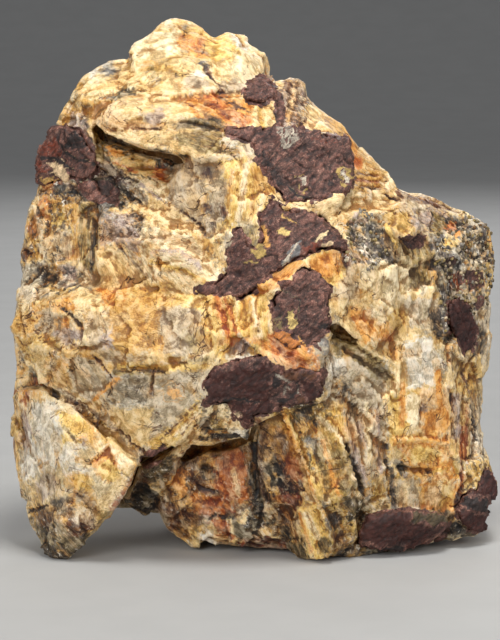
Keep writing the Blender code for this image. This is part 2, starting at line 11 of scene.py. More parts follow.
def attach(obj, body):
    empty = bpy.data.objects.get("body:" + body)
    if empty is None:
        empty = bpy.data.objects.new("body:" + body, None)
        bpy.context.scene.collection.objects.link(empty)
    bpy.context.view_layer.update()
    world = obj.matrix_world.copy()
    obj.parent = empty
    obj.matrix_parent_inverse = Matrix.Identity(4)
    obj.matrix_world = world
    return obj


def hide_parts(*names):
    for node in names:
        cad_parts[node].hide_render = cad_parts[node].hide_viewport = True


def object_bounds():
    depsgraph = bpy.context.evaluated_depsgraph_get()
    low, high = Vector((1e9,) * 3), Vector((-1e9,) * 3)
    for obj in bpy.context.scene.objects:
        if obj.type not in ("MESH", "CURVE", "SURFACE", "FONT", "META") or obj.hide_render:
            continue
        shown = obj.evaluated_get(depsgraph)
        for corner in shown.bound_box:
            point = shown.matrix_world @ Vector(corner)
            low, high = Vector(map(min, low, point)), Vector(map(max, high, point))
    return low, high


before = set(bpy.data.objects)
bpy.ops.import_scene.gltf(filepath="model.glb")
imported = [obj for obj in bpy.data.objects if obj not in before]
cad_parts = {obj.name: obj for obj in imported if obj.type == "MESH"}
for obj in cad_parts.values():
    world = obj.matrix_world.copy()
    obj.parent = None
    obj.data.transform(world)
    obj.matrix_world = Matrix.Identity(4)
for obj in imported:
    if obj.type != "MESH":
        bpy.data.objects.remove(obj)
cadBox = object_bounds()

# The front of the stone is worked on through a map: 5 steps across or down are 1 mm at
# the middle, and the lines of sight slope down to the back and meet at the eye.
sightMap = {
    "step": 0.0002,
    "rows": 640,
    "middle": (250.0, 320.0),
    "slope": math.radians(8.0),
    "distance": 0.520,
    "target": Vector((-0.00089, -0.00281, 0.0452)),
}
toRight = Vector((1.0, 0.0, 0.0))
toTop = Vector((0.0, math.sin(sightMap["slope"]), math.cos(sightMap["slope"])))
toBack = Vector((0.0, math.cos(sightMap["slope"]), -math.sin(sightMap["slope"])))
backWay = np.array(toBack)
eye = sightMap["target"] - toBack * sightMap["distance"]
metre = 1000.0        # in millimetres
farAway = 1e9         # more than any distance that is measured here

# Colours of the stone, as red, green and blue out of 255.
tones = {
    "white": (232, 228, 218),
    "paleCream": (242, 226, 190),
    "cream": (236, 211, 160),
    "peach": (234, 202, 158),
    "yellow": (234, 202, 124),
    "straw": (214, 182, 114),
    "ochre": (208, 166, 94),
    "amber": (228, 168, 88),
    "deepOrange": (208, 130, 62),
    "rust": (156, 90, 46),
    "redBrown": (120, 52, 30),
    "brown": (104, 64, 38),
    "honey": (168, 114, 40),
    "bronze": (118, 78, 28),
    "sienna": (176, 100, 36),
    "moss": (188, 158, 88),
    "olive": (150, 130, 82),
    "darkOlive": (86, 74, 48),
    "paleGrey": (208, 196, 174),
    "grey": (172, 162, 144),
    "beige": (204, 184, 152),
    "smoky": (188, 171, 146),
    "lilac": (178, 162, 156),
    "blueGrey": (124, 124, 124),
    "darkGrey": (88, 82, 80),
    "black": (26, 21, 21),
    "wine": (74, 42, 40),
    "liver": (60, 20, 12),
}


def linear(name):
    shares = [value / 255.0 for value in tones[name]]
    return [s / 12.92 if s <= 0.04045 else ((s + 0.055) / 1.055) ** 2.4 for s in shares]


# Noise and the front map are worked out for all points of a mesh at once. Each kind of
# noise has many fields, and a number picks the field.
lattice = {
    "seed": 20,
    "fieldGap": 17.31,       # how far apart the fields of smooth noise lie
    "height": 1.7,           # brings smooth noise to about -1 to 1
    "shardGap": 11.73,       # how far apart the fields of chips lie
    "shardScatter": 0.45,    # how far a chip's middle strays in its cell
    "shardLevel": 0.6,       # share of a chip's own level in its height
    "toTilt": 97,            # steps on in the lattice from a chip to its tilt
    "toLevel": 31,           # and to its level
}
latticeChance = np.random.default_rng(lattice["seed"])
latticeOrder = latticeChance.permutation(256)
latticeSlopes = latticeChance.normal(size=(256, 3))
latticeSlopes /= np.linalg.norm(latticeSlopes, axis=1)[:, None]


def latticePick(cell):
    # the place in the lattice that belongs to each cell of space
    i = latticeOrder[cell[:, 0] & 255]
    j = latticeOrder[(i + cell[:, 1]) & 255]
    return latticeOrder[(j + cell[:, 2]) & 255]


def swirl(places, size, field=0.0):
    # smooth noise from about -1 to 1, with lumps of the given size
    q = places / size + field * lattice["fieldGap"]
    cell = np.floor(q).astype(np.int64)
    part = q - cell
    fade = part ** 3 * (part * (part * 6.0 - 15.0) + 10.0)
    total = np.zeros(len(places))
    for corner in np.ndindex(2, 2, 2):
        slope = latticeSlopes[latticePick(cell + np.array(corner))]
        reach = part - np.array(corner, float)
        share = np.prod(np.where(np.array(corner) == 1, fade, 1.0 - fade), axis=1)
        total += share * (reach * slope).sum(1)
    return total * lattice["height"]


def layered(places, size, field=0.0, layers=4):
    # smooth noise with finer and lower noise on top of it
    total = np.zeros(len(places))
    for layer in range(layers):
        total += 0.5 ** layer * swirl(places, size / 2.0 ** layer, field + layer)
    return total


def shards(places, size, field=0.0):
    # flat, tilted chips that break off at their edges: height from about -1 to 1, and a
    # level of its own for each chip
    q = places / size + field * lattice["shardGap"]
    cell = np.floor(q).astype(np.int64)
    best = np.full(len(places), farAway)
    height = np.zeros(len(places))
    levels = np.zeros(len(places))
    for corner in np.ndindex(3, 3, 3):
        other = cell + np.array(corner) - 1
        pick = latticePick(other)
        reach = q - (other + 0.5 + lattice["shardScatter"] * latticeSlopes[pick])
        distance = (reach ** 2).sum(1)
        tilt = latticeSlopes[(pick + lattice["toTilt"]) & 255]
        level = latticeSlopes[(pick + lattice["toLevel"]) & 255][:, 0]
        closer = distance < best
        best = np.where(closer, distance, best)
        height = np.where(closer, (reach * tilt).sum(1) + lattice["shardLevel"] * level, height)
        levels = np.where(closer, level, levels)
    return height, levels


def bentPlaces(places, size, field, reach):
    # places bent by smooth noise in all three ways
    bend = np.stack([swirl(places, size, field + axis) for axis in range(3)], axis=1)
    return places + bend * reach


def smoothStep(value, low, high):
    share = np.clip((value - low) / (high - low), 0.0, 1.0)
    return share * share * (3.0 - 2.0 * share)


def onMap(places):
    # across, down and depth of each point, seen from the eye
    away = places - np.array(eye)
    depth = away @ backWay
    scale = sightMap["distance"] / depth / sightMap["step"]
    across = sightMap["middle"][0] + away @ np.array(toRight) * scale
    down = sightMap["middle"][1] - away @ np.array(toTop) * scale
    return across, down, depth


def meshArrays(mesh):
    # the places and the normals of a mesh's points
    arrays = []
    for kind in ("co", "normal"):
        values = np.empty(len(mesh.vertices) * 3, np.float32)
        mesh.vertices.foreach_get(kind, values)
        arrays.append(values.reshape(-1, 3).astype(float))
    return arrays


frontTest = {
    "cell": 3.0,                 # side of the squares of the map that are compared, in steps
    "cells": 300,
    "nothing": 9.0,              # depth of an empty square, in metres
    "turned": (-0.05, 0.25),     # how far a face must turn to the eye
    "behind": (0.006, 0.011),    # how far it may lie behind what is before it, in metres
}


def facing(places, normals, depth, across, down):
    # 1 where a point shows from the front, 0 on the sides and the back
    last = frontTest["cells"] - 1
    column = np.clip((across / frontTest["cell"]).astype(int), 0, last)
    row = np.clip((down / frontTest["cell"]).astype(int), 0, last)
    nearest = np.full((frontTest["cells"], frontTest["cells"]), frontTest["nothing"])
    np.minimum.at(nearest, (row, column), depth)
    wide = nearest.copy()
    for shiftRow in (-1, 0, 1):
        for shiftColumn in (-1, 0, 1):
            moved = np.roll(np.roll(nearest, shiftRow, 0), shiftColumn, 1)
            wide = np.minimum(wide, moved)
    behind = depth - wide[row, column]
    turned = -(normals @ backWay)
    return smoothStep(turned, *frontTest["turned"]) * (1.0 - smoothStep(behind, *frontTest["behind"]))


# How the edges of strokes wander: the size of the lumps in metres, and the reach in steps.
strokeWander = {"wide": (0.0028, 4.0), "fine": (0.0008, 2.2), "sharp": (0.0009, 1.6)}


def wandered(places, start, kind, field):
    size, reach = strokeWander[kind]
    return start + swirl(places, size, field) * reach


class Work:
    # one mesh while it is shaped and painted
    def __init__(self, mesh):
        self.mesh = mesh
        self.places, self.normals = meshArrays(mesh)
        self.across, self.down, self.depth = onMap(self.places)
        self.front = facing(self.places, self.normals, self.depth, self.across, self.down)
        self.warpAcross = wandered(self.places, self.across, "wide", 1)
        self.warpDown = wandered(self.places, self.down, "wide", 2)
        self.warpAcross = wandered(self.places, self.warpAcross, "fine", 3)
        self.warpDown = wandered(self.places, self.warpDown, "fine", 4)
        self.crustAcross = wandered(self.places, self.across, "sharp", 8)
        self.crustDown = wandered(self.places, self.down, "sharp", 9)
        count = len(self.places)
        self.stone = np.tile(linear("cream"), (count, 1))
        self.stain = np.tile(linear("cream"), (count, 1))
        self.cover = np.zeros(count)
        self.speckle = np.zeros(count)
        self.fibre = np.ones(count)
        self.crust = np.zeros(count)
        self.calm = np.zeros(count)
        self.lift = np.zeros(count)


def near(work, corners, margin):
    # the points of the front that a stroke can reach
    spots = np.array(corners, float)
    low = spots.min(0) - margin
    high = spots.max(0) + margin
    inside = (work.warpAcross > low[0]) & (work.warpAcross < high[0])
    inside &= (work.warpDown > low[1]) & (work.warpDown < high[1])
    inside &= work.front > 0.01
    return np.nonzero(inside)[0]


def lineDistance(across, down, corners):
    # distance to a run of corners, which side of it, and how far along it the point is
    best = np.full(len(across), farAway)
    side = np.ones(len(across))
    along = np.zeros(len(across))
    for place in range(len(corners) - 1):
        start = np.array(corners[place], float)
        step = np.array(corners[place + 1], float) - start
        x = across - start[0]
        y = down - start[1]
        share = np.clip((x * step[0] + y * step[1]) / (step @ step), 0.0, 1.0)
        distance = np.hypot(x - share * step[0], y - share * step[1])
        closer = distance < best
        best = np.where(closer, distance, best)
        side = np.where(closer, np.sign(x * step[1] - y * step[0]), side)
        along = np.where(closer, (place + share) / (len(corners) - 1), along)
    return best, side, along


def patchCover(across, down, corners, soft):
    # 1 inside a ring of corners, 0 outside it, and soft at its edge
    distance = lineDistance(across, down, list(corners) + [corners[0]])[0]
    inside = np.zeros(len(across), bool)
    for place in range(len(corners)):
        x0, y0 = corners[place]
        x1, y1 = corners[(place + 1) % len(corners)]
        if y0 == y1:
            continue
        crosses = (y0 > down) != (y1 > down)
        inside ^= crosses & (across < (x1 - x0) * (down - y0) / (y1 - y0) + x0)
    return smoothStep(np.where(inside, distance, -distance), -soft, soft)


def layOn(work, chosen, tone, cover):
    # a new stain goes over what is already there
    old = smoothStep(work.cover[chosen], 0.35, 0.65)[:, None]
    covered = (cover > 0.02)[:, None]
    folded = work.stone[chosen] * (1.0 - old) + work.stain[chosen] * old
    work.stone[chosen] = np.where(covered, folded, work.stone[chosen])
    work.stain[chosen] = np.where(covered, linear(tone), work.stain[chosen])
    work.cover[chosen] = np.where(covered[:, 0], cover, work.cover[chosen])


# Paint strokes on the front map. A patch has corners, a blot fills the space between two
# values across and two down, and a streak is a line with a width. A line's reach is taken
# this much wider, because the edges wander.
lineMargin = 14.0


def pairs(numbers):
    # corners are written as across,down pairs in one run of numbers
    return list(zip(numbers[::2], numbers[1::2]))


def patch(tone, *numbers, soft=3.0, full=1.0):
    corners = pairs(numbers)

    def apply(work):
        chosen = near(work, corners, soft + 1.0)
        cover = patchCover(work.warpAcross[chosen], work.warpDown[chosen], corners, soft)
        layOn(work, chosen, tone, cover * full * work.front[chosen])
    return apply


def blot(tone, left, right, top, bottom, soft=0.60, full=0.85):
    def apply(work):
        margin = 0.35 * max(right - left, bottom - top) + 3.0
        chosen = near(work, [(left, top), (right, bottom)], margin)
        x = (work.warpAcross[chosen] - (left + right) / 2) / ((right - left) / 2 + 1.0)
        y = (work.warpDown[chosen] - (top + bottom) / 2) / ((bottom - top) / 2 + 1.0)
        cover = 1.0 - smoothStep(np.hypot(x, y), 1.0 - soft, 1.0 + soft)
        layOn(work, chosen, tone, cover * full * work.front[chosen])
    return apply


def alongLine(work, corners, width):
    # the points near a line, their distance to it, their side and their place along it
    chosen = near(work, corners, width + lineMargin)
    return chosen, *lineDistance(work.crustAcross[chosen], work.crustDown[chosen], corners)


def streak(tone, width, *numbers, soft=0.6, full=1.0):
    def apply(work):
        chosen, distance, _, _ = alongLine(work, pairs(numbers), width)
        cover = 1.0 - smoothStep(distance, width * (1.0 - soft) / 2, width * (1.0 + soft) / 2)
        layOn(work, chosen, tone, cover * full * work.front[chosen])
    return apply


def crustPatch(*numbers, soft=1.2):
    # a thin skin of thorite that runs out over the stone round its masses
    corners = pairs(numbers)

    def apply(work):
        chosen = near(work, corners, soft + 20.0)
        cover = patchCover(work.crustAcross[chosen], work.crustDown[chosen], corners, soft)
        work.crust[chosen] = np.maximum(work.crust[chosen], cover * work.front[chosen])
    return apply


def calmPatch(share, *numbers, soft=6.0):
    # a smooth cleavage face, where the relief is lower
    corners = pairs(numbers)

    def apply(work):
        chosen = near(work, corners, soft + 1.0)
        cover = patchCover(work.warpAcross[chosen], work.warpDown[chosen], corners, soft)
        work.calm[chosen] = np.maximum(work.calm[chosen], cover * share)
    return apply


# Carving strokes on the front map, with heights in millimetres, out of the stone.

def groove(width, deep, *numbers):
    def apply(work):
        chosen, distance, _, along = alongLine(work, pairs(numbers), width)
        taper = smoothStep(np.minimum(along, 1.0 - along), -0.02, 0.12)
        shape = 1.0 - smoothStep(distance, 0.0, width / 2)
        work.lift[chosen] -= shape * taper * deep * work.front[chosen]
    return apply


def ridge(width, high, *numbers):
    return groove(width, -high, *numbers)


def scarp(run, high, *numbers):
    # a step: the side on the left of the way the corners run stands up and falls away
    def apply(work):
        chosen, distance, side, along = alongLine(work, pairs(numbers), run)
        taper = smoothStep(np.minimum(along, 1.0 - along), -0.02, 0.1)
        fall = 1.0 - smoothStep(distance, 0.0, run)
        shape = np.where(side > 0, fall, -0.35 * fall)
        work.lift[chosen] += shape * taper * high * work.front[chosen]
    return apply


calming = [
    calmPatch(0.8, 108,374, 150,366, 210,372, 200,405, 150,456, 122,430),
    calmPatch(0.8, 398,332, 440,326, 452,360, 446,396, 410,400, 398,372),
    calmPatch(0.7, 172,178, 186,162, 232,162, 236,212, 206,228, 172,208),
    calmPatch(0.7, 30,398, 60,398, 104,436, 140,462, 122,492, 100,520, 40,515, 28,460),
    calmPatch(0.7, 356,268, 392,262, 412,300, 396,328, 366,322),
    calmPatch(0.7, 326,340, 380,348, 394,366, 380,386, 338,376),
    calmPatch(0.7, 400,440, 452,440, 452,466, 400,466),
    calmPatch(0.6, 165,30, 215,44, 256,56, 258,88, 160,88, 146,60),
    calmPatch(0.6, 108,98, 250,96, 255,128, 180,126, 112,128),
    calmPatch(0.6, 70,356, 108,352, 110,370, 98,394, 74,398),
    calmPatch(0.5, 325,415, 346,420, 356,478, 340,498, 318,490, 306,450),
    calmPatch(0.6, 352,142, 362,168, 390,174, 392,188, 352,192),
    calmPatch(0.7, 392,395, 452,394, 452,436, 394,438),
    calmPatch(0.8, 394,440, 456,438, 460,515, 396,515),
    calmPatch(0.7, 258,414, 284,412, 300,452, 298,500, 262,500),
    calmPatch(0.7, 298,510, 316,504, 332,548, 320,560, 308,552),
    calmPatch(0.6, 206,446, 244,446, 250,500, 232,510, 206,494),
    calmPatch(0.5, 354,216, 392,216, 396,264, 354,262),
    calmPatch(0.5, 112,296, 208,300, 206,352, 112,348),
]

carving = [
    # peak and upper ledge
    groove(5, 0.5, 205,62, 205,70, 215,82, 222,88),
    groove(3, 0.4, 265,70, 268,86),
    groove(6, 0.7, 100,97, 112,92, 140,91),
    scarp(9, 0.5, 150,100, 200,94, 250,90),
    groove(4, 0.35, 105,129, 165,129),
    groove(3, 0.3, 136,119, 164,118),
    groove(3, 0.3, 185,101, 225,127),
    groove(3, 0.3, 196,97, 240,126),
    groove(3, 0.3, 215,96, 250,120),
    groove(8, 0.8, 178,120, 200,124, 225,130),
    groove(4, 0.6, 276,98, 278,128),
    groove(4, 0.5, 108,160, 120,175, 140,182),
    groove(5, 0.7, 70,180, 105,180),
    groove(4, 0.5, 125,190, 150,210),
    groove(4, 0.5, 150,210, 172,209),
    # bands and plates of the upper half
    groove(4, 0.45, 92,215, 94,262, 90,268),
    groove(4, 0.45, 180,210, 200,225, 205,235),
    scarp(8, 0.5, 204,233, 150,240, 112,236),
    scarp(7, 0.45, 214,262, 180,262, 150,268),
    groove(4, 0.5, 335,215, 355,205),
    groove(4, 0.5, 385,195, 405,205, 412,218),
    ridge(8, 0.6, 385,225, 405,265),
    groove(6, 0.7, 376,270, 395,262, 408,268),
    groove(3, 0.5, 350,171, 390,175),
    groove(3, 0.5, 350,177, 390,181),
    groove(3, 0.4, 352,184, 388,187),
    groove(3, 0.4, 80,270, 90,283),
    groove(3, 0.4, 140,288, 148,292),
    groove(5, 0.6, 62,308, 72,315, 84,330),
    groove(6, 0.6, 12,302, 22,301),
    scarp(12, 0.6, 110,345, 88,352, 60,350),
    scarp(10, 0.6, 210,352, 165,372, 115,373),
    groove(3, 0.5, 93,355, 112,380),
    groove(5, 0.8, 153,373, 150,392),
    scarp(9, 0.7, 25,365, 45,385, 75,402, 100,425, 120,433),
    groove(7, 1.0, 35,376, 50,392, 62,398),
    groove(3, 0.6, 120,430, 132,442, 145,453),
    # middle
    groove(4, 0.5, 222,296, 232,345),
    groove(3, 0.35, 243,298, 248,340),
    groove(3, 0.35, 256,292, 258,335),
    ridge(5, 0.4, 237,298, 241,340),
    groove(4, 0.5, 206,300, 212,352),
    scarp(8, 0.5, 325,335, 350,340, 378,360, 392,378),
    groove(10, 0.9, 340,345, 365,362, 385,378),
    scarp(8, 0.6, 403,325, 392,310, 380,300),
    ridge(6, 0.4, 398,338, 398,392),
    groove(4, 0.5, 432,330, 446,345, 450,370),
    groove(4, 0.5, 449,345, 450,362),
    # lower left
    groove(4, 0.5, 23,512, 36,509, 50,504),
    groove(4, 0.45, 66,430, 78,445),
    groove(5, 0.5, 19,415, 22,445),
    groove(3, 0.4, 47,475, 48,492),
    scarp(8, 0.6, 98,458, 108,446, 120,472),
    groove(10, 0.5, 100,465, 112,470),
    # recess and blades
    groove(6, 0.8, 190,478, 200,489, 216,492),
    groove(12, 1.2, 200,466, 212,472),
    groove(4, 0.7, 208,520, 215,514, 225,518),
    groove(10, 1.2, 252,412, 252,470, 258,500),
    ridge(5, 0.6, 283,413, 298,450, 313,492, 330,535),
    groove(7, 0.9, 290,412, 306,450, 318,485),
    groove(8, 0.9, 262,500, 258,530),
    groove(4, 0.5, 306,512, 312,530, 318,552),
    groove(4, 0.5, 330,500, 345,530),
    scarp(6, 0.7, 358,490, 348,455, 335,425, 322,415),
    groove(8, 1.1, 345,442, 355,462, 362,492),
    groove(4, 0.6, 356,400, 360,430, 365,470),
    groove(4, 0.6, 385,440, 388,480, 390,500),
    groove(3, 0.4, 372,405, 376,460),
    # lower right
    groove(9, 1.0, 395,467, 412,470, 432,472),
    scarp(7, 0.5, 452,442, 420,437, 392,440),
    groove(4, 0.6, 385,390, 394,402, 402,398),
    groove(3, 0.5, 421,400, 421,430),
    groove(4, 0.6, 464,385, 463,440, 462,490),
    groove(3, 0.5, 452,390, 452,440),
    groove(3, 0.5, 471,400, 474,440, 476,462),
    groove(4, 0.7, 450,507, 464,504),
]

painting = [
    # peak
    patch("cream", 150,32, 175,16, 240,38, 262,52, 262,95, 150,98, 128,60),
    patch("straw", 160,24, 175,16, 195,24, 205,34, 180,34, 160,34),
    blot("paleCream", 163, 172, 19, 28),
    blot("grey", 181, 187, 25, 30),
    blot("straw", 150, 190, 56, 90, full=0.7),
    blot("ochre", 236, 262, 62, 90, full=0.6),
    blot("smoky", 184, 206, 76, 92, full=0.8),
    patch("paleCream", 132,50, 150,36, 182,30, 180,48, 150,60, 135,62),
    patch("amber", 182,34, 202,36, 212,48, 204,58, 188,54, 178,46),
    blot("deepOrange", 193, 203, 39, 49),
    patch("yellow", 204,32, 226,32, 240,46, 236,60, 214,62, 206,50),
    patch("white", 233,36, 248,42, 252,50, 238,49),
    patch("paleCream", 240,50, 262,50, 265,88, 238,88, 228,70),
    streak("darkGrey", 2.5, 265,70, 268,86),
    blot("darkGrey", 202, 207, 63, 69),
    blot("white", 195, 207, 70, 78),
    streak("brown", 3, 205,66, 213,80, 222,88),
    blot("brown", 217, 228, 84, 95),
    blot("smoky", 222, 242, 80, 92),
    blot("olive", 147, 156, 66, 78),
    # upper left ledge
    patch("cream", 78,78, 100,66, 150,72, 150,96, 80,106),
    blot("blueGrey", 100, 115, 62, 75, full=0.8),
    blot("white", 88, 98, 69, 78),
    blot("ochre", 77, 86, 79, 101),
    # painted shade in the groove under the upper left ledge
    patch("darkOlive", 100,98, 112,91, 126,89, 142,90, 136,96, 120,99, 105,101),
    patch("amber", 90,110, 100,103, 112,101, 110,108, 102,112, 97,119, 92,118),
    patch("ochre", 58,122, 70,104, 90,98, 92,112, 78,118, 62,130),
    blot("lilac", 68, 87, 113, 137),
    blot("darkGrey", 78, 84, 117, 124),
    blot("darkGrey", 83, 88, 123, 129),
    patch("peach", 90,112, 110,102, 150,100, 168,104, 165,128, 108,142, 94,130),
    patch("cream", 120,104, 180,99, 190,116, 150,122, 122,118),
    blot("lilac", 146, 166, 109, 124, full=0.75),
    streak("brown", 2, 105,129, 135,130, 165,128),
    patch("cream", 100,134, 165,131, 215,134, 232,148, 222,158, 160,152, 112,142),
    # orange band right of the ledge
    patch("amber", 182,98, 215,94, 256,100, 256,128, 226,128, 196,118),
    patch("deepOrange", 200,96, 221,95, 226,106, 206,108),
    patch("deepOrange", 222,108, 250,116, 252,129, 230,127),
    streak("rust", 2.4, 186,101, 212,118, 226,128),
    streak("rust", 2.4, 200,97, 232,118, 246,128),
    streak("peach", 3, 196,108, 222,125),
    streak("brown", 2, 220,97, 250,112),
    blot("brown", 229, 237, 101, 109),
    patch("cream", 254,98, 278,100, 278,132, 254,130),
    streak("yellow", 3, 260,102, 262,128),
    streak("darkGrey", 3.5, 276,98, 279,128),
    blot("darkOlive", 176, 226, 118, 131),
    patch("olive", 176,132, 226,131, 246,140, 252,154, 225,156, 180,146),
    blot("white", 225, 239, 137, 146),
    blot("paleGrey", 239, 257, 144, 163),
    # fan of brown fibres above the thorite
    patch("brown", 276,88, 297,79, 308,90, 310,120, 296,130, 280,130),
    streak("lilac", 3, 286,126, 284,92),
    streak("peach", 2.5, 288,126, 294,88),
    streak("lilac", 3, 291,127, 303,92),
    blot("paleGrey", 300, 308, 104, 114),
    blot("black", 305, 313, 100, 108),
    patch("cream", 306,104, 328,114, 330,136, 308,136),
    patch("ochre", 324,112, 342,124, 350,146, 334,150, 326,132),
    patch("amber", 334,132, 350,134, 362,164, 352,172, 346,152),
    blot("deepOrange", 349, 362, 156, 170),
    # ochre block with stripes
    patch("ochre", 348,168, 392,172, 396,190, 352,192),
    streak("brown", 2, 350,172, 388,176),
    streak("rust", 2, 350,179, 388,182),
    streak("brown", 2, 352,186, 386,189),
    blot("paleCream", 384, 394, 172, 189),
    # slots under the ledge, where the dark olive and black patches are painted shade
    patch("darkOlive", 92,138, 110,142, 156,152, 186,158, 180,172, 150,178, 108,172, 94,160),
    patch("black", 106,139, 154,149, 182,157, 172,168, 150,160, 114,149),
    patch("straw", 110,158, 152,158, 158,172, 122,174),
    patch("amber", 106,148, 122,150, 126,158, 108,157),
    streak("deepOrange", 2.2, 114,162, 136,172),
    blot("deepOrange", 150, 172, 166, 176),
    streak("black", 2.6, 108,160, 120,175, 140,182),
    patch("brown", 96,183, 126,183, 128,206, 98,206),
    blot("black", 103, 122, 190, 206),
    patch("grey", 112,178, 142,180, 150,206, 126,204),
    streak("white", 2, 116,182, 140,198),
    streak("darkGrey", 2.4, 125,190, 150,210),
    patch("paleCream", 138,178, 172,180, 180,202, 160,206),
    streak("lilac", 2.5, 140,184, 166,204),
    streak("olive", 3, 150,211, 172,209),
    # dark left corner
    patch("wine", 40,150, 62,132, 92,132, 98,180, 40,182),
    patch("wine", 84,168, 104,160, 126,172, 128,190, 104,200, 84,190),
    blot("brown", 36, 84, 184, 202),
    blot("black", 92, 128, 182, 208),
    streak("black", 4, 66,184, 88,182, 108,190, 126,200),
    streak("rust", 5, 44,186, 62,184, 84,190),
    patch("black", 58,186, 84,180, 106,182, 130,196, 122,208, 98,206, 80,198, 60,196),
    streak("wine", 4, 70,186, 92,192, 112,194),
    blot("paleGrey", 96, 112, 186, 194, full=0.6),
    blot("olive", 90, 104, 149, 163),
    blot("white", 72, 96, 174, 181),
    streak("black", 5, 68,180, 106,180),
    # smooth slab and fibrous plate
    patch("smoky", 170,170, 184,158, 238,156, 240,214, 206,234, 168,208),
    blot("brown", 202, 213, 169, 181, full=0.8),
    blot("beige", 184, 204, 190, 220),
    patch("yellow", 222,164, 254,158, 272,190, 268,222, 240,240, 222,226, 232,190),
    streak("paleCream", 5, 246,166, 238,226),
    streak("ochre", 3, 256,170, 250,228),
    streak("paleCream", 3, 263,190, 258,226),
    streak("ochre", 3, 232,172, 226,220),
    patch("ochre", 252,162, 262,164, 276,192, 258,190),
    blot("brown", 221, 227, 204, 216),
    blot("brown", 204, 212, 204, 213),
    # bands under the slots
    patch("lilac", 100,212, 145,214, 184,238, 146,250, 98,244),
    patch("cream", 126,200, 172,208, 206,232, 186,240, 150,228),
    patch("darkGrey", 134,213, 146,216, 148,231, 136,228, soft=2),
    streak("olive", 3, 120,246, 146,276),
    patch("paleCream", 142,226, 190,240, 214,262, 222,288, 160,292, 140,270),
    streak("beige", 3, 150,240, 182,238, 200,252),
    streak("yellow", 4, 150,262, 186,270, 210,286),
    streak("lilac", 3, 152,252, 180,252, 200,268),
    patch("cream", 98,246, 122,246, 146,278, 140,288, 98,288),
    streak("brown", 2.2, 118,246, 146,276),
    patch("ochre", 196,240, 207,232, 216,245, 212,256, 204,250),
    streak("brown", 2.4, 180,210, 200,225, 205,235),
    # granular left side
    patch("ochre", 34,196, 78,198, 80,256, 22,262),
    blot("paleCream", 28, 38, 188, 216),
    blot("deepOrange", 38, 56, 199, 226),
    blot("yellow", 60, 72, 228, 244),
    blot("deepOrange", 54, 71, 239, 257),
    blot("brown", 21, 30, 244, 260),
    blot("beige", 40, 70, 226, 262, full=0.8),
    blot("rust", 30, 46, 214, 236, full=0.6),
    blot("moss", 48, 66, 204, 226, full=0.8),
    patch("grey", 20,264, 78,262, 82,288, 16,290),
    blot("lilac", 55, 76, 264, 286),
    blot("darkGrey", 36, 58, 267, 286),
    patch("olive", 78,202, 98,205, 96,272, 80,268),
    streak("black", 3.5, 94,214, 94,240, 91,268),
    blot("blueGrey", 97, 111, 202, 219),
    streak("brown", 2, 80,270, 90,284),
    patch("beige", 78,270, 98,272, 98,290, 80,290),
    # nose
    patch("cream", 8,326, 16,288, 60,286, 100,288, 112,346, 60,352, 25,364),
    blot("paleGrey", 16, 50, 285, 300),
    patch("amber", 98,286, 128,288, 128,304, 106,306),
    patch("straw", 128,284, 182,284, 182,300, 128,302),
    streak("brown", 2, 140,302, 162,302),
    blot("smoky", 34, 62, 310, 337),
    blot("ochre", 7, 36, 317, 332),
    blot("amber", 55, 76, 299, 311),
    blot("amber", 60, 71, 318, 336),
    patch("straw", 12,336, 50,334, 56,354, 26,362),
    blot("lilac", 54, 86, 329, 341),
    streak("darkGrey", 3, 62,308, 72,315, 84,330),
    streak("brown", 3, 68,341, 90,355),
    patch("beige", 84,312, 150,312, 160,352, 112,366, 92,350),
    blot("lilac", 104, 127, 329, 351),
    blot("straw", 120, 152, 328, 342),
    blot("olive", 134, 157, 334, 352, full=0.5),
    patch("peach", 148,298, 184,298, 190,322, 160,334),
    # fibres of the middle left
    patch("ochre", 110,300, 176,296, 222,296, 216,340, 190,352, 112,352),
    patch("yellow", 176,294, 222,296, 216,340, 190,350, 170,330),
    patch("smoky", 160,310, 196,308, 206,340, 200,356, 164,354),
    blot("olive", 186, 206, 332, 354, full=0.6),
    patch("yellow", 212,296, 266,286, 268,345, 250,366, 214,356),
    streak("amber", 6, 216,298, 232,344),
    streak("deepOrange", 5, 218,298, 230,344),
    streak("deepOrange", 3, 226,300, 240,342),
    streak("yellow", 6, 240,300, 250,342),
    streak("paleCream", 4, 252,296, 260,340),
    streak("ochre", 3, 246,296, 256,340),
    streak("amber", 5, 220,341, 262,341),
    blot("white", 224, 248, 350, 364),
    blot("lilac", 231, 249, 343, 352),
    patch("amber", 262,345, 275,330, 300,335, 309,350, 305,369, 290,376, 272,368, 262,358),
    patch("deepOrange", 268,334, 300,332, 318,340, 320,356, 314,372, 294,376, 276,366),
    streak("rust", 4, 272,338, 286,356, 304,364),
    streak("amber", 4, 284,338, 300,350, 312,366),
    streak("rust", 3, 300,340, 312,352),
    # band under the nose and the middle facet
    patch("ochre", 58,350, 84,348, 122,376, 112,384, 90,366),
    patch("paleGrey", 66,362, 92,358, 112,384, 96,400, 72,392),
    streak("ochre", 4, 60,362, 70,388),
    patch("paleGrey", 108,374, 152,372, 212,372, 208,404, 170,448, 140,460, 98,420),
    patch("white", 112,392, 146,384, 176,392, 160,424, 132,430),
    patch("grey", 108,376, 150,374, 150,400, 112,402),
    patch("paleGrey", 150,392, 192,386, 186,420, 150,436, 134,420),
    patch("cream", 106,412, 150,408, 152,444, 132,450),
    streak("olive", 5, 114,372, 160,371, 206,358),
    streak("yellow", 5, 206,366, 160,368, 118,366),
    streak("brown", 2, 92,355, 112,380),
    streak("amber", 4, 118,378, 96,398),
    streak("brown", 4, 154,372, 151,394),
    blot("amber", 167, 179, 384, 397, full=0.5),
    patch("yellow", 200,396, 210,404, 180,436, 152,460, 150,442, 176,424),
    streak("brown", 2, 206,404, 182,434),
    streak("brown", 2, 196,404, 160,440),
    streak("paleCream", 3, 202,408, 176,436),
    # painted shade along the shadowed step over the lower left block
    streak("brown", 8, 40,382, 76,404, 100,424, 118,432),
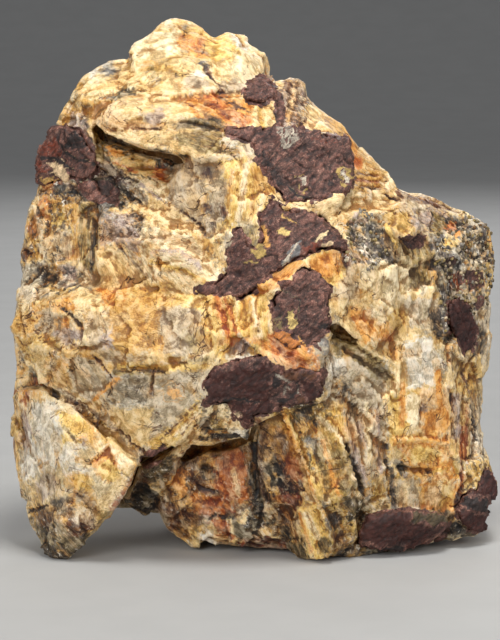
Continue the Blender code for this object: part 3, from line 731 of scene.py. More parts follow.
    streak("darkOlive", 5, 30,368, 46,388, 64,398),
    streak("smoky", 4, 60,388, 82,402, 104,418),
    streak("brown", 1.8, 120,430, 132,442, 145,453),
    # lower left block
    patch("cream", 14,396, 42,388, 76,408, 110,434, 142,462, 122,496, 96,528, 58,548, 24,512,
          10,430, soft=2),
    patch("paleCream", 20,400, 60,396, 104,430, 126,462, 100,500, 50,505, 26,480),
    patch("white", 34,404, 56,400, 62,430, 56,470, 36,470, 32,430),
    blot("white", 60, 96, 440, 480, full=0.7),
    blot("lilac", 36, 60, 470, 500, full=0.6),
    patch("white", 22,450, 34,446, 38,470, 30,484, 20,476),
    blot("lilac", 18, 30, 410, 450),
    # painted highlight: a shiny white streak on the left strip
    streak("white", 3, 28,432, 33,452, 34,470),
    blot("straw", 7, 18, 418, 448),
    blot("amber", 20, 38, 384, 400),
    blot("rust", 24, 30, 393, 400),
    blot("ochre", 12, 18, 398, 412),
    patch("yellow", 58,412, 88,416, 92,442, 66,444),
    streak("olive", 3, 64,428, 74,438, 84,442),
    blot("lilac", 80, 86, 438, 446),
    patch("straw", 96,420, 118,434, 122,450, 104,442),
    # painted highlight beside the orange hollow
    blot("paleCream", 80, 96, 450, 466),
    patch("amber", 94,460, 106,450, 108,442, 118,464, 122,478, 108,482, 98,474),
    patch("yellow", 104,462, 112,460, 122,478, 110,482, 100,474),
    streak("deepOrange", 2.6, 96,462, 108,447, 118,466, full=0.55),
    patch("yellow", 72,474, 94,478, 92,492, 74,492),
    streak("smoky", 3, 47,474, 49,492),
    patch("ochre", 26,508, 60,506, 98,512, 92,534, 58,552, 38,538),
    patch("bronze", 34,514, 58,506, 90,514, 86,540, 58,550, 40,538),
    patch("brown", 48,516, 66,508, 84,516, 76,536, 56,540, full=0.7),
    streak("darkGrey", 3, 22,512, 36,510, 52,504),
    blot("darkGrey", 52, 71, 499, 512),
    patch("brown", 72,492, 88,488, 98,506, 96,530, 78,532, 66,514),
    blot("wine", 78, 92, 496, 512),
    blot("brown", 46, 62, 514, 538),
    blot("darkOlive", 50, 66, 524, 542),
    blot("paleGrey", 78, 88, 508, 518),
    patch("darkOlive", 30,516, 44,530, 56,538, 74,536, 92,534, 84,550, 64,564, 42,560, 34,540),
    patch("black", 38,544, 52,550, 66,552, 62,564, 48,564, 40,556),
    # brown under side of the block with painted shade, and a black painted shadow in the cleft
    patch("brown", 140,462, 166,446, 170,470, 140,496, 108,520, 94,532, 120,500),
    patch("wine", 138,464, 150,448, 166,448, 158,466, 140,470),
    streak("rust", 4, 138,472, 112,508),
    patch("darkOlive", 146,462, 170,456, 184,462, 160,482, 146,480),
    patch("black", 118,496, 148,484, 168,510, 150,516, 126,512),
    patch("olive", 98,514, 118,508, 120,526, 102,530),
    patch("brown", 124,514, 186,514, 196,540, 160,530, 128,520),
    # lip over the recess
    patch("paleCream", 204,402, 228,400, 250,412, 248,434, 225,430, 204,424),
    blot("olive", 210, 224, 416, 430, full=0.8),
    blot("grey", 200, 212, 420, 430),
    streak("white", 4, 226,430, 240,434, 248,430),
    # the black lines under the lip are painted shadow
    streak("black", 3, 203,431, 226,431),
    streak("ochre", 3, 208,434, 226,434),
    streak("black", 5, 200,438, 246,438),
    # brown recess
    patch("bronze", 166,466, 204,442, 250,442, 254,500, 240,516, 190,520, 160,508),
    patch("sienna", 204,446, 240,448, 248,470, 246,498, 234,508, 218,494, 204,470),
    patch("brown", 180,450, 204,450, 200,476, 184,478),
    patch("amber", 168,484, 176,466, 186,472, 190,492, 180,502),
    patch("sienna", 190,492, 224,498, 234,512, 212,516, 190,516),
    patch("bronze", 204,446, 222,446, 222,456, 206,462),
    streak("rust", 3, 224,450, 228,490),
    streak("brown", 5, 190,478, 202,490, 218,493),
    blot("darkGrey", 199, 213, 462, 478),
    blot("darkOlive", 158, 172, 458, 474),
    streak("paleGrey", 4, 160,480, 168,498),
    streak("brown", 3, 170,502, 192,508),
    streak("peach", 4, 234,470, 238,494),
    patch("brown", 160,502, 206,516, 206,532, 184,536, 160,522),
    streak("black", 2, 208,520, 215,514, 226,519),
    patch("sienna", 208,520, 226,518, 236,536, 222,540),
    patch("straw", 191,528, 204,526, 206,544, 198,554, 192,544),
    patch("white", 202,530, 214,532, 216,552, 206,548),
    patch("peach", 216,534, 232,542, 226,548, 217,546),
    patch("black", 230,516, 262,530, 262,542, 240,538),
    patch("redBrown", 236,540, 286,538, 288,552, 240,552),
    # blades
    # painted shade in the groove left of the first blade
    patch("black", 247,408, 259,412, 260,460, 266,500, 252,505, 248,460),
    patch("honey", 256,414, 284,410, 302,456, 290,470, 262,452),
    patch("brown", 256,414, 266,414, 270,446, 259,448),
    patch("bronze", 268,430, 282,432, 288,456, 272,454),
    blot("moss", 266, 284, 408, 424),
    patch("liver", 252,444, 270,450, 286,462, 302,482, 298,504, 262,504),
    blot("black", 266, 284, 462, 486, full=0.9),
    blot("blueGrey", 272, 284, 476, 488, full=0.3),
    patch("rust", 284,448, 300,460, 304,484, 290,474, full=0.6),
    streak("amber", 6, 284,412, 300,452, 316,492),
    patch("redBrown", 274,494, 298,494, 300,512, 282,512),
    patch("bronze", 256,502, 286,508, 302,528, 286,534, 258,526),
    blot("black", 262, 276, 512, 526),
    streak("peach", 3, 284,516, 296,534),
    blot("black", 280, 297, 530, 544),
    patch("black", 248,500, 262,500, 262,530, 250,528),
    patch("darkOlive", 284,544, 306,540, 312,558, 290,562),
    patch("moss", 288,404, 322,400, 340,440, 352,480, 345,500, 318,500, 304,452),
    patch("darkOlive", 286,402, 312,400, 318,426, 304,440, full=0.7),
    patch("ochre", 300,420, 322,424, 330,470, 320,490, 306,460, full=0.7),
    patch("olive", 302,436, 322,438, 332,486, 314,484),
    blot("blueGrey", 300, 318, 438, 458, full=0.8),
    patch("moss", 316,408, 352,404, 358,440, 360,480, 344,500, 330,460),
    patch("olive", 336,446, 352,452, 358,486, 344,498, 336,480),
    patch("yellow", 320,412, 344,408, 352,436, 340,440),
    # painted highlight along the blade's edge
    streak("paleCream", 4, 318,418, 336,432, 350,452),
    streak("amber", 4, 322,440, 334,480, 342,506),
    streak("yellow", 3, 310,448, 324,492),
    streak("yellow", 6, 288,413, 304,450, 320,496),
    patch("yellow", 297,510, 316,504, 332,548, 322,562, 310,556),
    streak("paleCream", 6, 306,514, 318,540),
    streak("amber", 3, 298,514, 312,552),
    patch("moss", 318,502, 346,496, 358,530, 350,548, 334,558),
    blot("bronze", 334, 348, 534, 552),
    blot("darkGrey", 324, 342, 516, 530),
    streak("darkOlive", 4, 322,502, 336,530),
    blot("darkOlive", 318, 330, 538, 552),
    patch("darkOlive", 342,498, 374,500, 368,522, 346,518),
    # slanting striped strip
    patch("paleGrey", 344,398, 388,392, 392,440, 390,500, 370,512, 358,480, 350,440),
    patch("peach", 344,420, 358,426, 364,450, 350,450),
    streak("lilac", 8, 352,444, 366,486),
    streak("lilac", 4, 360,424, 366,446),
    streak("paleCream", 4, 366,404, 372,462),
    streak("lilac", 3, 376,410, 382,480),
    # painted shade in the groove right of the second blade
    streak("black", 5, 347,444, 356,466, 364,496, full=0.75),
    streak("darkGrey", 4, 386,444, 390,498),
    patch("straw", 368,480, 388,478, 388,500, 376,510),
    blot("black", 348, 358, 386, 406),
    # hollow right of the middle
    patch("cream", 326,296, 398,296, 400,350, 372,346, 330,326),
    patch("beige", 328,262, 356,262, 360,300, 330,298),
    patch("amber", 350,308, 390,306, 394,342, 362,340),
    blot("paleCream", 372, 396, 294, 322),
    blot("deepOrange", 381, 389, 336, 343),
    # the olive and dark olive patches along the crease are painted shade
    patch("olive", 325,335, 350,338, 378,358, 393,378, 384,384, 360,374, 335,350),
    patch("darkOlive", 340,346, 362,356, 392,374, 380,384, 358,370, full=0.45),
    patch("paleGrey", 318,350, 350,358, 384,386, 386,400, 324,400),
    blot("white", 328, 346, 358, 376),
    blot("darkGrey", 338, 347, 384, 402),
    patch("darkOlive", 286,396, 320,398, 312,412, 288,410),
    patch("blueGrey", 312,328, 326,326, 328,352, 314,352),
    blot("black", 317, 331, 323, 332),
    patch("amber", 262,268, 300,256, 306,266, 276,288, 250,296, 246,290),
    patch("grey", 226,236, 240,234, 236,262, 226,262),
    patch("olive", 244,226, 266,226, 268,254, 250,254),
    # right of the thorite
    patch("cream", 310,192, 356,190, 354,212, 324,216),
    patch("yellow", 306,244, 342,246, 348,276, 328,290, 310,262),
    patch("amber", 306,262, 320,252, 342,248, 348,262, 330,276, 314,276),
    blot("brown", 342, 351, 249, 271),
    patch("grey", 350,214, 388,214, 396,266, 352,266),
    patch("lilac", 352,216, 372,216, 372,262, 354,262),
    streak("darkGrey", 5, 352,246, 366,240, 380,244, 394,262),
    streak("darkGrey", 4, 388,216, 392,240, 396,262),
    blot("paleGrey", 356, 372, 222, 236),
    blot("blueGrey", 366, 386, 224, 240),
    blot("darkGrey", 369, 386, 236, 251),
    blot("white", 358, 370, 246, 256),
    blot("darkGrey", 377, 394, 252, 267),
    patch("straw", 385,212, 395,206, 406,210, 419,226, 412,234, 390,229),
    blot("brown", 399, 406, 204, 211),
    streak("brown", 2.4, 385,195, 405,205, 413,219),
    streak("yellow", 6, 386,226, 398,248, 406,266),
    patch("beige", 396,194, 444,200, 444,214, 400,212),
    patch("lilac", 414,210, 446,210, 444,236, 416,234),
    patch("brown", 394,191, 444,200, 472,216, 444,208, 396,199),
    patch("brown", 408,233, 428,232, 426,250, 410,250),
    patch("olive", 396,242, 436,240, 440,290, 404,290),
    patch("paleCream", 358,268, 380,261, 400,267, 411,276, 410,306, 403,326, 392,312, 378,300),
    blot("straw", 392, 406, 308, 332),
    # granular right shoulder and rim
    patch("darkGrey", 430,214, 484,222, 492,262, 476,300, 444,300, 432,260),
    blot("olive", 430, 446, 218, 236),
    blot("grey", 462, 480, 222, 240),
    blot("black", 448, 464, 240, 256),
    blot("grey", 436, 450, 268, 290),
    blot("deepOrange", 446, 458, 221, 241),
    blot("yellow", 440, 456, 240, 249),
    blot("rust", 452, 481, 269, 291),
    patch("blueGrey", 452,252, 480,246, 484,268, 456,270),
    blot("darkGrey", 440, 456, 286, 306),
    blot("paleGrey", 468, 480, 258, 268),
    patch("straw", 484,262, 494,262, 492,300, 484,298),
    blot("white", 454, 466, 291, 305),
    patch("paleGrey", 472,300, 492,300, 486,346, 474,346),
    blot("darkGrey", 466, 484, 322, 368),
    streak("black", 4, 444,306, 452,330, 458,352),
    blot("darkGrey", 436, 452, 306, 326),
    streak("darkGrey", 4, 476,366, 472,400, 478,440),
    # smooth right facets
    patch("paleGrey", 406,298, 440,298, 440,340, 414,332),
    patch("darkGrey", 430,314, 452,306, 456,346, 436,342),
    patch("cream", 398,338, 416,330, 442,338, 454,370, 446,392, 398,396),
    patch("white", 404,342, 430,336, 444,364, 436,386, 408,388),
    streak("amber", 3, 448,345, 451,362),
    patch("straw", 454,360, 478,356, 478,396, 454,396),
    streak("brown", 3, 462,374, 468,392),
    # lower right
    patch("yellow", 384,396, 424,392, 424,440, 388,440),
    patch("paleCream", 404,396, 422,394, 422,436, 408,434),
    streak("amber", 5, 402,384, 403,404, 402,424),
    patch("peach", 420,390, 450,388, 450,436, 422,438),
    streak("amber", 6, 438,372, 440,400, 442,436),
    blot("lilac", 420, 432, 402, 414, full=0.7),
    patch("amber", 424,412, 448,408, 452,444, 424,440),
    patch("yellow", 388,436, 452,436, 462,516, 392,516),
    patch("amber", 392,440, 450,437, 454,470, 400,468),
    blot("yellow", 410, 440, 446, 464, full=0.7),
    blot("straw", 388, 404, 448, 462),
    patch("brown", 392,466, 412,466, 434,471, 432,477, 404,478),
    blot("black", 394, 408, 465, 471),
    blot("ochre", 408, 430, 470, 478),
    patch("paleGrey", 392,480, 420,480, 420,514, 394,512),
    streak("darkGrey", 5, 392,470, 394,510),
    streak("paleCream", 4, 406,484, 408,512),
    # painted highlight
    streak("white", 4, 417,498, 418,516),
    patch("amber", 420,478, 452,470, 464,496, 462,516, 424,518),
    blot("yellow", 424, 452, 480, 514, full=0.6),
    blot("peach", 426, 440, 486, 506),
    streak("brown", 4, 454,394, 455,440),
    streak("lilac", 5, 458,396, 458,436),
    streak("sienna", 6, 463,430, 462,490),
    streak("rust", 3, 467,404, 467,470),
    patch("paleGrey", 470,396, 480,396, 482,460, 472,462),
    streak("darkGrey", 3, 472,410, 475,440),
    patch("straw", 464,464, 490,464, 490,498, 468,498),
    patch("wine", 456,492, 484,498, 486,530, 462,534, 456,516),
    patch("black", 440,526, 476,522, 478,536, 444,542),
    blot("paleGrey", 459, 471, 515, 524),
    blot("olive", 439, 448, 534, 541),
    patch("black", 336,552, 362,540, 404,546, 386,562, 340,560),
    patch("darkOlive", 364,514, 450,510, 456,522, 366,524),
]

crusting = [
    crustPatch(226,131, 240,132, 262,131, 275,128, 288,134, 305,131, 320,137, 347,140, 349,156, 352,180,
          345,192, 328,196, 316,203, 300,200, 288,203, 276,190, 268,180, 260,168, 262,160, 254,150,
          244,143, 228,138),
    crustPatch(268,198, 280,205, 286,212, 306,213, 324,222, 338,234, 346,250, 330,244, 318,250, 300,256,
          286,262, 272,272, 262,283, 246,292, 232,295, 216,293, 196,290, 214,286, 228,276, 229,262,
          226,248, 238,240, 236,228, 242,226, 246,240, 251,252, 262,246, 264,238, 260,225, 258,215,
          268,210),
    crustPatch(304,266, 318,276, 328,288, 326,312, 330,330, 318,342, 322,352, 308,345, 292,346, 276,336,
          272,310, 280,290, 278,280, 294,280),
    crustPatch(206,380, 213,368, 240,361, 252,364, 266,357, 286,374, 304,370, 320,372, 321,390, 310,401,
          282,404, 274,412, 250,414, 248,427, 240,418, 232,424, 229,400, 206,404, 211,392),
    crustPatch(362,538, 370,519, 386,521, 395,514, 420,516, 442,517, 454,522, 448,534, 432,548, 405,550,
          385,549, 364,545),
    crustPatch(448,303, 460,300, 470,309, 475,330, 472,349, 462,352, 456,336, 448,322),
    crustPatch(36,150, 56,136, 68,128, 82,130, 90,148, 96,158, 100,172, 90,180, 72,177, 58,182, 36,182),
    crustPatch(76,182, 104,180, 122,190, 120,206, 96,204, 84,196),
    crustPatch(242,98, 250,87, 262,80, 273,90, 274,102, 262,106, 248,104),
    crustPatch(462,498, 480,494, 486,472, 494,472, 498,500, 486,506, 486,530, 472,534, 462,516),
    crustPatch(138,462, 148,450, 166,448, 160,464, 146,470),
    crustPatch(272,100, 282,92, 286,118, 278,128),
    crustPatch(396,234, 426,236, 424,248, 408,250),
    crustPatch(456,274, 466,270, 480,272, 482,284, 474,292, 468,284, 460,282),
    crustPatch(446,260, 452,256, 456,262, 450,268),
    crustPatch(474,298, 480,294, 483,304, 477,312),
    crustPatch(228,402, 248,404, 246,424, 238,414, 234,424),
]


samePoint = 0.0000001       # corners closer than this are one


def copyOf(node, name):
    # a copy of a CAD node's mesh, its doubles merged
    work = bmesh.new()
    work.from_mesh(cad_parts[node].data)
    bmesh.ops.remove_doubles(work, verts=work.verts, dist=samePoint)
    mesh = bpy.data.meshes.new(name)
    work.to_mesh(mesh)
    work.free()
    return placed(name, mesh)


def placed(name, data):
    # a new object in the scene
    item = bpy.data.objects.new(name, data)
    bpy.context.scene.collection.objects.link(item)
    return item


def bake(piece):
    graph = bpy.context.evaluated_depsgraph_get()
    mesh = bpy.data.meshes.new_from_object(piece.evaluated_get(graph))
    piece.modifiers.clear()
    piece.data = mesh


def reskin(piece, look):
    # the piece in a skin of small, even faces
    skin = piece.modifiers.new("skin", "REMESH")
    skin.mode = "VOXEL"
    skin.voxel_size = look["skin"]
    skin.use_smooth_shade = True
    bake(piece)


def movePoints(mesh, places):
    # new places for a mesh's points, none of them past the box of the CAD model
    inside = np.clip(places, np.array(cadBox[0]), np.array(cadBox[1]))
    mesh.vertices.foreach_set("co", inside.astype(np.float32).ravel())
    mesh.update()
    return inside


def smoothed(mesh, values, rounds):
    # values averaged over neighbouring points, again and again
    ends = np.empty(len(mesh.edges) * 2, np.int32)
    mesh.edges.foreach_get("vertices", ends)
    ends = ends.reshape(-1, 2)
    count = np.bincount(ends.ravel(), minlength=len(values)).astype(float)
    result = values.copy()
    for _ in range(rounds):
        total = np.zeros_like(result)
        np.add.at(total, ends[:, 0], result[ends[:, 1]])
        np.add.at(total, ends[:, 1], result[ends[:, 0]])
        result = total / np.maximum(count, 1.0)[:, None]
    return result


fineHollow = 0.00012        # depth of a fine hollow that counts in full, in metres
broadHollow = 0.0004        # and of a broad one


def hollowness(mesh, even, moved, full):
    # how far each point lies under the smoothed surface: above 0 in hollows, below on edges
    return ((even - moved) * meshArrays(mesh)[1]).sum(1) / full


def storePoints(mesh, fields):
    # values and colours kept on a mesh's points under their names
    for name, values in fields.items():
        if values.ndim == 1:
            field = mesh.attributes.new(name, "FLOAT", "POINT")
            field.data.foreach_set("value", values.astype(np.float32))
        else:
            field = mesh.attributes.new(name, "FLOAT_COLOR", "POINT")
            filled = np.concatenate([values, np.ones((len(values), 1))], axis=1)
            field.data.foreach_set("color", filled.astype(np.float32).ravel())


def dress(mesh, material):
    mesh.materials.clear()
    mesh.materials.append(material)
    mesh.polygons.foreach_set("use_smooth", [True] * len(mesh.polygons))


class Tree:
    # short ways to make and join nodes
    def __init__(self, tree):
        self.tree = tree

    def add(self, kind, **settings):
        node = self.tree.nodes.new(kind)
        for key, value in settings.items():
            setattr(node, key, value)
        return node

    def put(self, socket, value):
        if isinstance(value, bpy.types.NodeSocket):
            self.tree.links.new(value, socket)
        else:
            socket.default_value = value

    def fill(self, node, values):
        for name, value in values.items():
            self.put(node.inputs[name], value)
        return node


class Finish(Tree):
    # a material while its nodes are laid out
    def __init__(self, name):
        self.material = bpy.data.materials.new(name)
        self.material.use_nodes = True
        super().__init__(self.material.node_tree)
        self.tree.nodes.clear()
        self.shader = self.add("ShaderNodeBsdfPrincipled")
        output = self.add("ShaderNodeOutputMaterial")
        self.put(output.inputs["Surface"], self.shader.outputs[0])
        self.place = self.add("ShaderNodeTexCoord").outputs["Object"]

    def attribute(self, name, output="Fac"):
        return self.add("ShaderNodeAttribute", attribute_name=name).outputs[output]

    def noise(self, place, scale, detail=3.0, roughness=0.55, distortion=0.0):
        return self.fill(self.add("ShaderNodeTexNoise"), {
            "Vector": place, "Scale": scale, "Detail": detail, "Roughness": roughness,
            "Distortion": distortion}).outputs["Fac"]

    def math(self, operation, first, second=0.0, clamp=False):
        node = self.add("ShaderNodeMath", operation=operation, use_clamp=clamp)
        self.put(node.inputs[0], first)
        self.put(node.inputs[1], second)
        return node.outputs[0]

    def times(self, first, second, clamp=False):
        return self.math("MULTIPLY", first, second, clamp)

    def plus(self, first, second):
        return self.math("ADD", first, second)

    def swing(self, noise, strength):
        # a noise that swings to both sides of zero
        return self.times(self.math("SUBTRACT", noise, 0.5), strength)

    def fromMiddle(self, noise):
        # how far a noise is from its middle: thin lines where it is nearly zero
        return self.math("ABSOLUTE", self.math("SUBTRACT", noise, 0.5))

    def ramp(self, value, low, high, toLow=0.0, toHigh=1.0):
        node = self.add("ShaderNodeMapRange", interpolation_type="SMOOTHSTEP")
        return self.fill(node, {"Value": value, "From Min": low, "From Max": high,
                                "To Min": toLow, "To Max": toHigh}).outputs["Result"]

    def mix(self, share, first, second, blend="MIX"):
        node = self.add("ShaderNodeMix", data_type="RGBA", blend_type=blend)
        return self.fill(node, {"Factor": share, "A": first, "B": second}).outputs["Result"]

    def scaled(self, colour, amount):
        node = self.add("ShaderNodeVectorMath", operation="SCALE")
        self.put(node.inputs[0], colour)
        self.put(node.inputs["Scale"], amount)
        return node.outputs[0]

    def roughen(self, height, strength, distance):
        # fine relief, seen in the light alone
        bump = self.fill(self.add("ShaderNodeBump"), {
            "Strength": strength, "Distance": distance, "Height": height})
        self.put(self.shader.inputs["Normal"], bump.outputs[0])


def colour(name):
    return (*linear(name), 1.0)


# The stone's relief. Sizes and heights are in metres where nothing else is said.
stoneLook = {
    "skin": 0.00047,
    "quickSkin": 0.0008,
    "triangles": 197000,
    "swellSize": 0.0040,
    "swell": 0.00018,
    "roughSize": 0.0013,
    "roughness": 0.00010,
    "fibreHeight": 0.00006,
    "stairHeight": 0.00022,
    "stairSpacing": 0.0026,
    "stairRun": 0.86,           # share of a stair that rises slowly
    "stairSize": 0.0060,        # lumps of the noise that bends the stairs
    "stairBend": 0.9,
    "bendSize": 0.0018,
    "bend": 0.0005,
    "bladeSize": 2.2,           # in a crystal's own drawn-out millimetres
    "bladeHeight": 0.00014,
    "facetSize": 0.0075,
    "facetHeight": 0.00075,
    "chipSize": 0.0019,
    "chipHeight": 0.00010,
    "pitSize": 0.0011,
    "pitDepth": 0.00025,
    "streakReach": 6.0,         # map steps
    "calmFibre": 0.85,          # share of the fibres that a smooth face loses
    "hiddenShare": 0.30,        # strength on the hidden sides of the painted shade in hollows, the painted highlight on edges and the chips' own tones
    "thoriteReach": 0.0007,
    "thoriteFade": 0.0003,
    "hollowRounds": 5,            # rounds of smoothing that find fine hollows
    "broadRounds": 14,          # and more of them for broad ones
}

# Crystals of the front: a place on the map, the way its fibres run in degrees clockwise
# from the right, how strong they are, and how granular it is.
crystals = [
    (185, 25, 60, 0.5, 0.1), (240, 60, 50, 0.5, 0.1), (160, 60, 40, 0.4, 0.1),
    (110, 85, 8, 0.5, 0.2), (80, 110, 70, 0.4, 0.4), (135, 115, 4, 1.0, 0.0),
    (220, 110, 38, 1.2, 0.0), (265, 115, 88, 1.2, 0.0), (130, 145, 8, 0.8, 0.1),
    (200, 140, 20, 0.8, 0.1), (292, 105, 95, 1.5, 0.1), (320, 125, 60, 0.6, 0.1),
    (350, 155, 62, 0.8, 0.1), (370, 181, 3, 1.4, 0.0), (130, 165, 24, 1.0, 0.2),
    (110, 195, 40, 0.6, 0.6), (155, 195, 36, 1.2, 0.1), (200, 185, 68, 0.3, 0.1),
    (245, 200, 98, 1.3, 0.0), (264, 180, 70, 0.8, 0.1), (50, 220, 80, 0.3, 0.7),
    (50, 275, 20, 0.3, 0.8), (87, 240, 93, 0.9, 0.2), (122, 230, 30, 0.8, 0.4),
    (180, 250, 22, 1.0, 0.0), (190, 275, 40, 1.0, 0.0), (120, 270, 55, 0.8, 0.1),
    (35, 315, 12, 0.7, 0.2), (40, 345, 150, 0.6, 0.3), (75, 320, 45, 0.6, 0.2),
    (115, 335, 30, 0.6, 0.1), (165, 315, 20, 0.6, 0.1), (185, 335, 60, 0.4, 0.1),
    (225, 320, 76, 1.4, 0.0), (252, 320, 86, 1.4, 0.0), (238, 355, 100, 0.8, 0.2),
    (285, 355, 30, 0.6, 0.1), (90, 378, 55, 0.6, 0.1), (130, 388, 12, 0.5, 0.4),
    (165, 410, 135, 0.6, 0.1), (185, 430, 133, 1.4, 0.0), (120, 425, 130, 0.7, 0.1),
    (25, 430, 82, 0.8, 0.3), (60, 440, 62, 0.6, 0.1), (105, 450, 55, 0.6, 0.1),
    (70, 500, 75, 0.6, 0.3), (110, 485, 125, 0.6, 0.1), (55, 535, 50, 0.6, 0.6),
    (225, 415, 95, 0.5, 0.6), (175, 485, 70, 0.6, 0.4), (225, 475, 82, 0.6, 0.2),
    (210, 510, 40, 0.6, 0.4), (150, 480, 125, 0.6, 0.5), (245, 535, 30, 0.7, 0.5),
    (275, 435, 72, 0.9, 0.1), (280, 485, 80, 0.7, 0.3), (300, 470, 69, 1.4, 0.0),
    (325, 450, 66, 1.3, 0.1), (345, 470, 68, 0.9, 0.1), (312, 535, 72, 1.3, 0.0),
    (335, 525, 66, 1.1, 0.2), (275, 520, 60, 0.7, 0.5), (358, 450, 76, 1.4, 0.0),
    (378, 440, 82, 1.4, 0.1), (365, 510, 40, 0.6, 0.6), (330, 380, 70, 0.8, 0.4),
    (340, 280, 70, 0.6, 0.1), (375, 325, 50, 0.6, 0.1), (395, 290, 75, 0.5, 0.0),
    (360, 365, 35, 0.8, 0.1), (330, 200, 160, 0.9, 0.1), (370, 240, 60, 0.3, 0.9),
    (400, 220, 30, 0.5, 0.1), (395, 245, 60, 1.0, 0.1), (420, 210, 15, 0.8, 0.3),
    (415, 265, 80, 0.7, 0.3), (460, 260, 75, 0.3, 1.0), (460, 310, 80, 0.3, 0.9),
    (425, 320, 70, 0.5, 0.1), (420, 365, 70, 0.4, 0.0), (482, 330, 85, 0.8, 0.5),
    (465, 375, 80, 0.9, 0.4), (405, 410, 88, 0.9, 0.0), (435, 410, 87, 1.0, 0.1),
    (425, 455, 10, 0.5, 0.1), (460, 430, 88, 1.5, 0.1), (476, 430, 80, 1.1, 0.6),
    (407, 498, 86, 1.3, 0.1), (440, 498, 88, 1.0, 0.1), (478, 482, 60, 0.6, 0.6),
    (470, 515, 70, 0.3, 0.6), (400, 520, 5, 0.7, 0.5), (365, 550, 10, 0.3, 0.6),
    (320, 270, 70, 0.6, 0.1), (290, 275, 130, 0.9, 0.1), (235, 250, 80, 0.5, 0.5),
    (300, 405, 60, 0.7, 0.6), (318, 340, 80, 0.5, 0.5),
]
hiddenCrystals = {
    "count": 90,
    "seed": 61,
    "spread": (0.5, 0.5, 1.0),
    "fibres": (0.3, 0.6, 0.9, 1.3),
    "grains": (0.0, 0.1, 0.2, 0.7),
    "palette": ("cream", "paleCream", "cream", "peach", "straw", "paleCream", "cream", "beige",
                "yellow", "cream", "paleCream", "beige"),
}
crystalLook = {
    "edgeSize": 0.0050,     # lumps of the noise that bends the edges on the front
    "edgeReach": 7.0,       # map steps
    "bendSize": 0.0060,     # the same on the hidden sides, in metres
    "bend": 0.0018,
    "nod": 0.15,            # how far the fibres lean into the stone
    "drawnOut": 0.11,       # length of a pattern along the fibres, as a share of across
    "apart": 7.31,          # keeps the patterns of two crystals apart
}


def crystalBasis(angle):
    # along the fibres, across them, and into the stone
    turn = math.radians(angle)
    along = toRight * math.cos(turn) - toTop * math.sin(turn)
    along = (along + toBack * crystalLook["nod"] * math.sin(turn * 3.0)).normalized()
    across = along.cross(toBack).normalized()
    return np.array([along, across, along.cross(across)])


def nearestSeed(points, seeds):
    # which seed each point is nearest to
    best = np.full(len(points), farAway)
    chosen = np.zeros(len(points), int)
    for index, seed in enumerate(seeds):
        distance = np.linalg.norm(points - np.array(seed, float), axis=1)
        closer = distance < best
        best = np.where(closer, distance, best)
        chosen = np.where(closer, index, chosen)
    return chosen


def chooseCrystals(work):
    # the crystal that each point is in: on the front by the map, elsewhere by its place
    size, reach = crystalLook["edgeSize"], crystalLook["edgeReach"]
    x = work.across + swirl(work.places, size, 5) * reach
    y = work.down + swirl(work.places, size, 6) * reach
    chosen = nearestSeed(np.stack([x, y], axis=1), [crystal[:2] for crystal in crystals])
    chance = random.Random(hiddenCrystals["seed"])
    low, high = cadBox
    seeds = [[chance.uniform(low[axis], high[axis]) for axis in range(3)]
             for _ in range(hiddenCrystals["count"])]
    bent = bentPlaces(work.places, crystalLook["bendSize"], 7, crystalLook["bend"])
    return np.where(work.front > 0.5, chosen, len(crystals) + nearestSeed(bent, seeds))


def allCrystals():
    # fibre ways and strengths of the front's crystals and of the hidden ones
    chance = random.Random(hiddenCrystals["seed"] + 1)
    bases = [crystalBasis(crystal[2]) for crystal in crystals]
    fibres = [crystal[3] for crystal in crystals]
    grains = [crystal[4] for crystal in crystals]
    for _ in range(hiddenCrystals["count"]):
        along = Vector([chance.gauss(0, spread) for spread in hiddenCrystals["spread"]]).normalized()
        across = along.orthogonal().normalized()
        bases.append(np.array([along, across, along.cross(across)]))
        fibres.append(chance.choice(hiddenCrystals["fibres"]))
        grains.append(chance.choice(hiddenCrystals["grains"]))
    return np.array(bases), np.array(fibres), np.array(grains)


def grainPlaces(places, bases, chosen):
    # millimetres in the crystal's own ways, drawn out along its fibres
    turned = np.einsum("nij,nj->ni", bases[chosen], places) * metre
    turned[:, 0] *= crystalLook["drawnOut"]
    return turned + (chosen * crystalLook["apart"])[:, None]


def storeGrain(mesh, places, bases, chosen):
    # each face keeps to one crystal, so the fibres break off sharply at its edge
    owners = np.empty(len(mesh.loops), np.int32)
    mesh.loops.foreach_get("vertex_index", owners)
    counts = np.empty(len(mesh.polygons), np.int32)
    mesh.polygons.foreach_get("loop_total", counts)
    starts = np.concatenate([[0], np.cumsum(counts)[:-1]])
    cornerCrystal = np.repeat(chosen[owners[starts]], counts)
    grain = grainPlaces(places[owners], bases, cornerCrystal)
    field = mesh.attributes.new("grain", "FLOAT_VECTOR", "CORNER")
    field.data.foreach_set("vector", grain.astype(np.float32).ravel())


def paintHidden(work, chosen):
    # sides and back: the same colours in crystals of their own, with iron stain and dirt
    chance = random.Random(hiddenCrystals["seed"] + 2)
    picks = np.array([linear(chance.choice(hiddenCrystals["palette"]))
                      for _ in range(len(crystals) + hiddenCrystals["count"])])
    hidden = picks[chosen]
    share = work.front[:, None]
    work.stone = hidden * (1 - share) + work.stone * share
    rustField = layered(work.places, 0.014, 31, 4) * 0.5 + 0.5
    seam = layered(work.places, 0.008, 33, 3)
    work.stain = np.tile(linear("amber"), (len(work.places), 1))
    for field, low, high, tone in ((rustField, 0.62, 0.8, "rust"), (seam, 0.55, 0.7, "brown")):
        deep = smoothStep(field, low, high)[:, None]
        work.stain = work.stain * (1 - deep) + np.array(linear(tone)) * deep
    work.cover = np.maximum(smoothStep(rustField, 0.58, 0.9), smoothStep(seam, 0.48, 0.75))
    work.cover *= 1.0 - work.front


